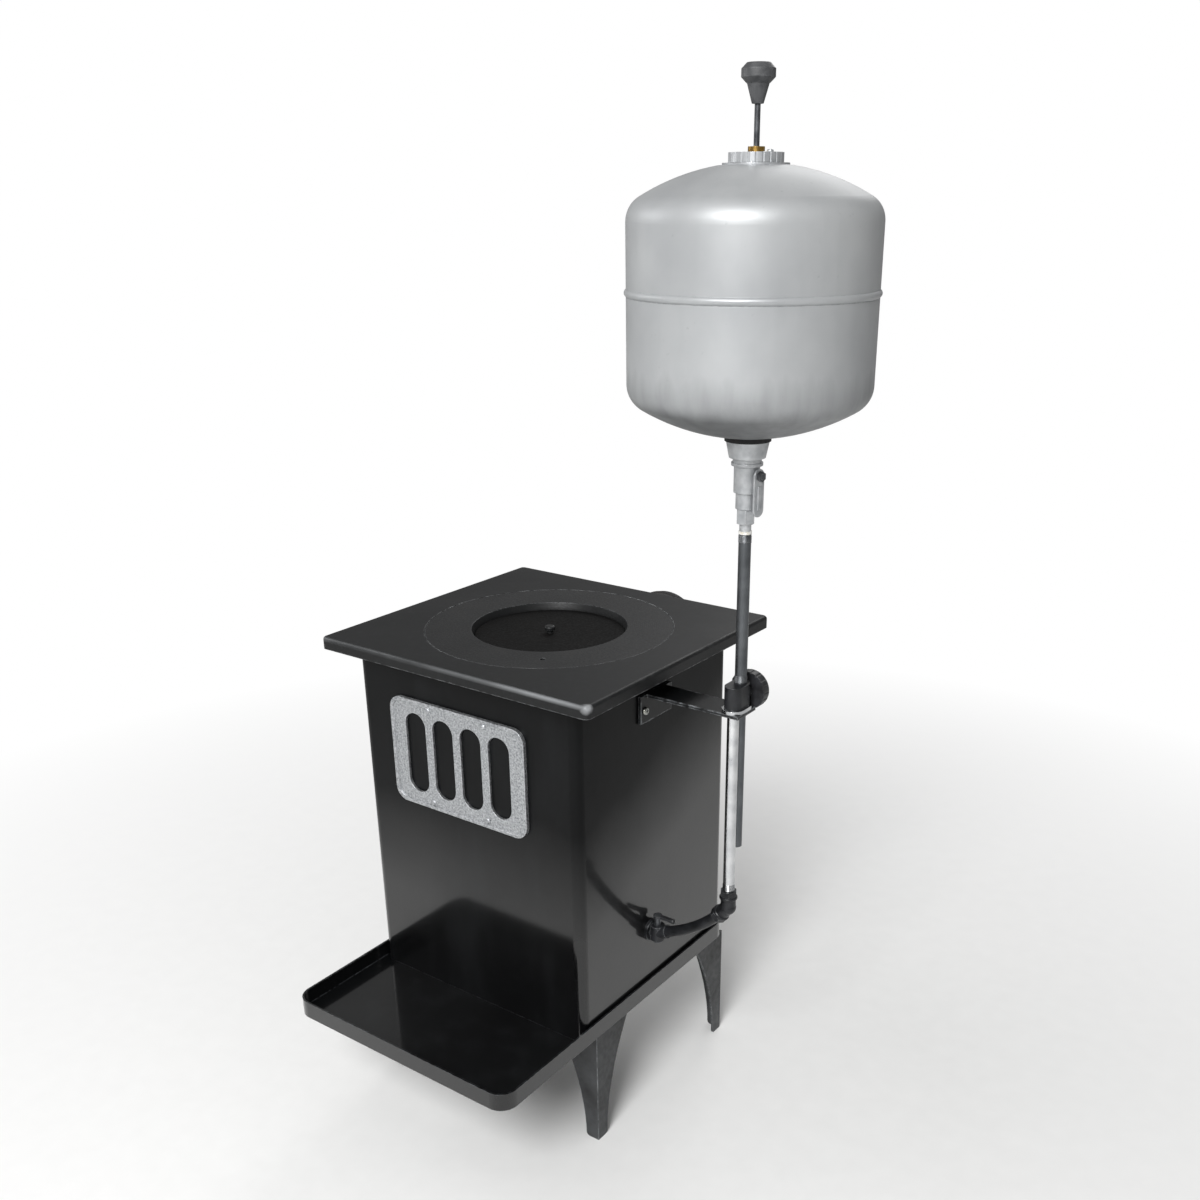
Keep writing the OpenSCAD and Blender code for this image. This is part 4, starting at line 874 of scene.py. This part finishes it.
def nut(radius, height, bore):
    """Six-sided nut about the Z axis, its corners turned off at both ends, with a bore."""
    start()
    bpy.ops.mesh.primitive_cylinder_add(
        vertices=nut_sides, radius=radius, depth=height, location=(0, 0, height / 2),
        rotation=(0, 0, half_side),
    )
    bpy.ops.object.transform_apply(location=True, rotation=True, scale=True)
    piece = bpy.context.object
    flat = radius * math.cos(half_side)
    slope = (radius - flat) * nut_chamfer_share
    lens = turned([(0, flat), (slope, radius), (height - slope, radius), (height, flat)])
    cut(piece, lens, "INTERSECT")
    cut(piece, turned([(-height, bore), (2 * height, bore)], small_sides))
    soften(piece, nut_soft)
    return piece


def cross_screw(shank):
    """Pan-head screw about the Z axis with a cross recess; the head stands on z = 0."""
    piece = turned([
        (-shank, screw_r), (0, screw_r), (0, head_r), (head_edge, head_r), (head_h, head_top_r),
    ])
    soften(piece, head_soft, steps=3)
    for across in ((recess_len, recess_wide), (recess_wide, recess_len)):
        low = (-across[0] / 2, -across[1] / 2, head_h - recess_deep)
        cut(piece, box(low, (across[0] / 2, across[1] / 2, 2 * head_h)))
    return piece


def thread(length, radius):
    """Screw thread about the Z axis: a small ridge that winds up round a tube."""
    start()
    upright = (to_front, 0, 0)
    bpy.ops.mesh.primitive_circle_add(
        vertices=3, radius=thread_deep, location=(radius, 0, thread_pitch / 2), rotation=upright
    )
    bpy.ops.object.transform_apply(location=True, rotation=True, scale=True)
    piece = bpy.context.object
    step = piece.modifiers.new("winding", "SCREW")
    step.screw_offset = thread_pitch
    step.iterations = round(length / thread_pitch) - 1
    step.steps = small_sides
    step.render_steps = small_sides
    step.use_merge_vertices = True
    step.merge_threshold = merge_gap
    pick(piece)
    bpy.ops.object.modifier_apply(modifier=step.name)
    bpy.ops.object.mode_set(mode="EDIT")
    bpy.ops.mesh.select_all(action="SELECT")
    bpy.ops.mesh.fill_holes(sides=3)
    bpy.ops.mesh.normals_make_consistent(inside=False)
    bpy.ops.object.mode_set(mode="OBJECT")
    bpy.ops.object.shade_smooth_by_angle(angle=sharp_turn)
    return piece


def settle(piece, place, turn=(0, 0, 0)):
    """Turns a piece made at the origin and sets it in its place."""
    piece.rotation_euler = turn
    piece.location = place
    pick(piece)
    bpy.ops.object.transform_apply(location=True, rotation=True, scale=True)
    return piece


def copies(piece, shifts):
    """Copies a piece to each further place and joins all of them."""
    made = [piece]
    for shift in shifts:
        pick(piece)
        bpy.ops.object.duplicate()
        bpy.ops.transform.translate(value=shift)
        made.append(bpy.context.object)
    start()
    for part in made:
        part.select_set(True)
    bpy.context.view_layer.objects.active = piece
    bpy.ops.object.join()
    bpy.ops.object.transform_apply(location=True, rotation=True, scale=True)
    return piece


def keep(piece, name, body, finish):
    """Names a piece and gives it its body and its finish."""
    piece.name = name
    piece.data.name = name
    piece.data.materials.clear()
    piece.data.materials.append(materials[finish])
    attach(piece, body)
    return piece


def softened(node, width, body, finish, steps=2):
    """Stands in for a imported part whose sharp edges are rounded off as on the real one."""
    source = nodes[node]
    piece = bpy.data.objects.new(node + "_rounded", source.data.copy())
    piece.matrix_world = source.matrix_world
    bpy.context.scene.collection.objects.link(piece)
    pick(piece)
    bpy.ops.object.transform_apply(location=True, rotation=True, scale=True)
    bpy.ops.mesh.customdata_custom_splitnormals_clear()
    bpy.ops.object.mode_set(mode="EDIT")
    bpy.ops.mesh.select_all(action="SELECT")
    bpy.ops.mesh.remove_doubles(threshold=merge_gap)
    bpy.ops.mesh.dissolve_limited(angle_limit=flat_turn)
    bpy.ops.mesh.normals_make_consistent(inside=False)
    bpy.ops.object.mode_set(mode="OBJECT")
    soften(piece, width, steps)
    keep(piece, node + "_rounded", body, finish)
    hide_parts(node)
    return piece


def back_screws():
    """Screws that hold the back panel, in three rows on each side, heads to the rear."""
    low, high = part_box("back_panel_screws")
    first = Vector((low.x + head_r, high.y - head_h, low.z + head_r))
    wide = high.x - low.x - 2 * head_r
    step = (high.z - low.z - 2 * head_r) / 2
    piece = settle(cross_screw(shank_len), first, (to_rear, 0, 0))
    places = [(x, 0, z) for x in (0, wide) for z in (0, step, 2 * step)]
    copies(piece, places[1:])
    keep(piece, "back_screws_cross_head", "stove", zinc_plate)
    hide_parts("back_panel_screws")


def arm_screws():
    """Pair of screws that hold the bracket arm to the side of the stove."""
    low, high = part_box("bracket_screws")
    first = Vector((high.x - head_h, low.y + head_r, (low.z + high.z) / 2))
    piece = settle(cross_screw(shank_len), first, (0, to_right, 0))
    copies(piece, [(0, high.y - low.y - 2 * head_r, 0)])
    keep(piece, "arm_screws_cross_head", "stove", zinc_plate)
    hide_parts("bracket_screws")


def nuts_under_tray():
    """Nuts of the leg bolts, with their corners turned off."""
    low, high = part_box("leg_nuts")
    flat = leg_nut_r * math.cos(half_side)
    piece = nut(leg_nut_r, high.z - low.z, screw_r)
    settle(piece, (low.x + leg_nut_r, low.y + flat, low.z))
    wide = high.x - low.x - 2 * leg_nut_r
    deep = high.y - low.y - 2 * flat
    copies(piece, [(wide, 0, 0), (0, deep, 0), (wide, deep, 0)])
    keep(piece, "leg_nuts_chamfered", "stove", zinc_plate)
    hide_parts("leg_nuts")


def elbow_frame():
    """Centre of the elbow, and the turn that its lower socket has about the Y axis."""
    centre = middle("riser_pipe")
    centre.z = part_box("feed_elbow")[1].z - socket_len
    rise = centre.z - middle("pot_inlet_pipe").z
    run = centre.x - middle("inlet_cock_plug").x
    return centre, to_left - math.atan2(rise, run) - feed_bow


def pipe_nut_pair():
    """Union nuts on the two ends of the elbow."""
    centre, lower = elbow_frame()
    for name, turn in (("riser_nut_chamfered", 0), ("feed_nut_chamfered", lower)):
        piece = nut(pipe_nut_r, pipe_nut_h, pipe_r)
        way = Vector((math.sin(turn), 0, math.cos(turn)))
        settle(piece, centre + socket_len * way, (0, turn, 0))
        keep(piece, name, "stove", black_phosphate)
        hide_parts("pipe_nuts")


def elbow_bands():
    """Cast bands round the mouths of the elbow."""
    centre, lower = elbow_frame()
    band_r = elbow_r + band_out
    outline = [(0, elbow_r), (band_out, band_r), (band_h - band_out, band_r), (band_h, elbow_r)]
    for name, turn in (("elbow_band_upper", 0), ("elbow_band_lower", lower)):
        piece = turned(outline)
        soften(piece, band_soft)
        way = Vector((math.sin(turn), 0, math.cos(turn)))
        settle(piece, centre + (socket_len - band_h) * way, (0, turn, 0))
        keep(piece, name, "stove", black_phosphate)


def pipe_threads():
    """Threads that show where the pipes leave their fittings."""
    centre = elbow_frame()[0]
    stand = middle("tank_pipe")
    riser_foot = centre.z + socket_len + pipe_nut_h
    regulator_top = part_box("regulator_body")[1].z
    union_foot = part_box("union_seal")[0].z
    spots = (
        ("riser_thread", centre, riser_foot, "bright_steel", bright_nickel),
        ("tank_pipe_lower_thread", stand, regulator_top, "dull_steel", drawn_steel),
        ("tank_pipe_upper_thread", stand, union_foot - thread_len, "dull_steel", drawn_steel),
    )
    for name, axis, foot, slot, finish in spots:
        piece = thread(thread_len, pipe_r)
        settle(piece, (axis.x, axis.y, foot))
        keep(piece, name, "stove", finish)


def union_nut():
    """Union nut under the shut-off valve."""
    low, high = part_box("valve_nut")
    radius = (high.x - low.x) / 2
    piece = nut(radius, high.z - low.z, pipe_r * union_bore_share)
    settle(piece, ((low.x + high.x) / 2, (low.y + high.y) / 2, low.z))
    keep(piece, "valve_nut_chamfered", "stove", satin_chrome)
    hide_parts("valve_nut")


def level_knob():
    """Moulded knob of the level gauge: a waisted neck, a wide cap with sloped edges and
    a shallow dish on top."""
    low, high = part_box("gauge_knob")
    tall = high.z - low.z
    wide = (high.x - low.x) / 2
    cap = tall - knob_cap_h
    edge = wide - knob_chamfer
    piece = turned([
        (0, knob_foot_r), (cap, knob_neck_r), (cap, edge), (cap + knob_chamfer, wide),
        (tall - knob_chamfer, wide), (tall, edge), (tall, edge - knob_lip),
        (tall - knob_dish, edge - 2 * knob_lip),
    ])
    soften(piece, knob_soft, steps=3)
    settle(piece, ((low.x + high.x) / 2, (low.y + high.y) / 2, low.z))
    keep(piece, "gauge_knob_moulded", "gauge", faded_black)
    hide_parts("gauge_knob")


def flue_beads():
    """Two rolled beads round the flue collar, and the folded seam along its underside."""
    low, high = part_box("flue_collar")
    axis = middle("flue_collar")
    axis.z = low.z + flue_flange_w + flue_r
    beads = []
    for inset in (flue_bead_in, flue_bead_in + flue_bead_gap):
        start()
        bpy.ops.mesh.primitive_torus_add(
            major_radius=flue_r, minor_radius=flue_bead_r, major_segments=bead_steps,
            minor_segments=bead_sides, location=(axis.x, high.y - inset, axis.z),
            rotation=(to_rear, 0, 0),
        )
        bpy.ops.object.transform_apply(location=True, rotation=True, scale=True)
        bpy.ops.object.shade_smooth()
        beads.append(bpy.context.object)
    near = (axis.x - seam_wide / 2, low.y + seam_front_in, axis.z - flue_r - seam_out)
    far = (axis.x + seam_wide / 2, high.y - seam_back_in, axis.z - flue_r + seam_out)
    seam = box(near, far)
    soften(seam, seam_soft)
    start()
    for part in beads + [seam]:
        part.select_set(True)
    bpy.context.view_layer.objects.active = seam
    bpy.ops.object.join()
    keep(seam, "flue_beads_and_seam", "stove", flue_paint)


def lever_rib():
    """Stiffening rib pressed into the valve lever."""
    low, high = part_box("valve_lever")
    stem = middle("tank_pipe")
    stem.z = high.z - lever_w / 2
    reach = high.x - stem.x
    face = (reach + lever_w / 2 * math.sin(lever_turn)) / math.cos(lever_turn)
    near = (face - rib_out, -rib_wide / 2, low.z + lever_w / 2 - stem.z)
    far = (face + rib_out, rib_wide / 2, -lever_w * rib_end_share)
    piece = box(near, far)
    soften(piece, rib_out * rib_soft_share, steps=3)
    settle(piece, stem, (0, 0, lever_turn))
    keep(piece, "lever_pressed_rib", "valve_lever", satin_chrome)


def cap_vent():
    """Breather on the filler cap, with its small hole."""
    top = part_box("filler_cap")[1].z
    outline = [(-vent_deep, vent_r), (vent_h - vent_soft, vent_r), (vent_h, vent_r - vent_soft)]
    piece = turned(outline, small_sides)
    soften(piece, vent_soft / 2)
    cut(piece, turned([(0, vent_hole_r), (2 * vent_h, vent_hole_r)], hole_sides))
    settle(piece, (tank_axis.x + vent_off, tank_axis.y, top))
    keep(piece, "filler_cap_vent", "filler_cap", satin_chrome)


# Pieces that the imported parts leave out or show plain
back_screws()
arm_screws()
nuts_under_tray()
pipe_nut_pair()
elbow_bands()
pipe_threads()
union_nut()
level_knob()
flue_beads()
lever_rib()
cap_vent()

# Parts whose cut edges are rounded off
for leg in ("leg_front_right", "leg_front_left", "leg_back_right", "leg_back_left"):
    softened(leg, leg_soft, "stove", dusty_paint)
softened("front_plaque", cast_soft, "stove", cast_aluminium, steps=3)
softened("bracket_arm", plate_soft, "stove", satin_paint)
softened("hob_ring", plate_soft, "hob_ring", blacked_iron)
softened("valve_lever", plate_soft, "valve_lever", satin_chrome, steps=3)
softened("regulator_knob", plate_soft, "regulator", moulded_black)


# Stage
def seen_directly(tree):
    """One for rays from the camera, and zero for the rest."""
    return add(tree, "ShaderNodeLightPath").outputs["Is Camera Ray"]


def studio_floor():
    """Pale matt paper that keeps the object's shadow and goes over into the white
    backdrop away from it."""
    fibre_wide = 30 * mm
    fibre_deep = 0.05 * mm
    edge_r = 1 * mm
    material, tree = begin("pale studio paper")
    where = place_of(tree)
    fibre = patches(tree, where, fibre_wide, detail=3.0)
    colour = blend(tree, fibre, linear("#f0f0ef"), linear("#f6f6f5"))
    normal = relief(tree, [(fibre, fibre_deep)], edge_r)
    paper = surface(tree, colour, 0.8, normal)
    away = add(tree, "ShaderNodeVectorMath", {0: where}, operation="LENGTH").outputs["Value"]
    far = between(tree, away, low=fade_start, high=fade_end)
    white = add(tree, "ShaderNodeEmission", {"Color": linear("#ffffff")}).outputs["Emission"]
    values = {0: joined(tree, far, seen_directly(tree)), 1: paper, 2: white}
    return close(material, add(tree, "ShaderNodeMixShader", values).outputs["Shader"])


start()
bpy.ops.mesh.primitive_plane_add(size=2 * floor_half, location=(0, 0, 0))
floor = bpy.context.object
floor.name = "studio_floor"
floor.data.materials.append(studio_floor())


def studio_world():
    """Dim white room that lights the object, before a white backdrop that only the camera
    sees."""
    world = bpy.data.worlds.new("studio")
    world.use_nodes = True
    tree = world.node_tree
    tree.nodes.clear()
    room = add(tree, "ShaderNodeBackground", {"Color": linear("#ffffff"), "Strength": room_light})
    backdrop = add(tree, "ShaderNodeBackground", {"Color": linear("#ffffff"), "Strength": 1.0})
    values = {0: seen_directly(tree), 1: room.outputs["Background"], 2: backdrop.outputs["Background"]}
    mixed = add(tree, "ShaderNodeMixShader", values)
    add(tree, "ShaderNodeOutputWorld", {"Surface": mixed.outputs["Shader"]})
    bpy.context.scene.world = world


def soft_lamp(name, place, wide, power):
    """Round soft light that looks at the middle of the object."""
    lamp = bpy.data.lights.new(name, "AREA")
    lamp.shape = "DISK"
    lamp.size = wide
    lamp.energy = power
    holder = bpy.data.objects.new(name, lamp)
    holder.location = place
    holder.rotation_euler = (Vector(aim_place) - Vector(place)).to_track_quat("-Z", "Y").to_euler()
    bpy.context.scene.collection.objects.link(holder)


studio_world()
soft_lamp("key_lamp", key_place, key_wide, key_power)
soft_lamp("side_lamp", side_place, side_wide, side_power)
soft_lamp("back_lamp", back_place, back_wide, back_power)

# Camera
lens = bpy.data.cameras.new("photo_camera")
lens.lens = camera_lens
lens.shift_x, lens.shift_y = camera_shift
camera = bpy.data.objects.new("photo_camera", lens)
camera.location = camera_place
camera.rotation_euler = [math.radians(a) for a in (camera_tilt, camera_lean, camera_turn)]
bpy.context.scene.collection.objects.link(camera)
bpy.context.scene.camera = camera
bpy.context.scene.view_settings.view_transform = "Standard"
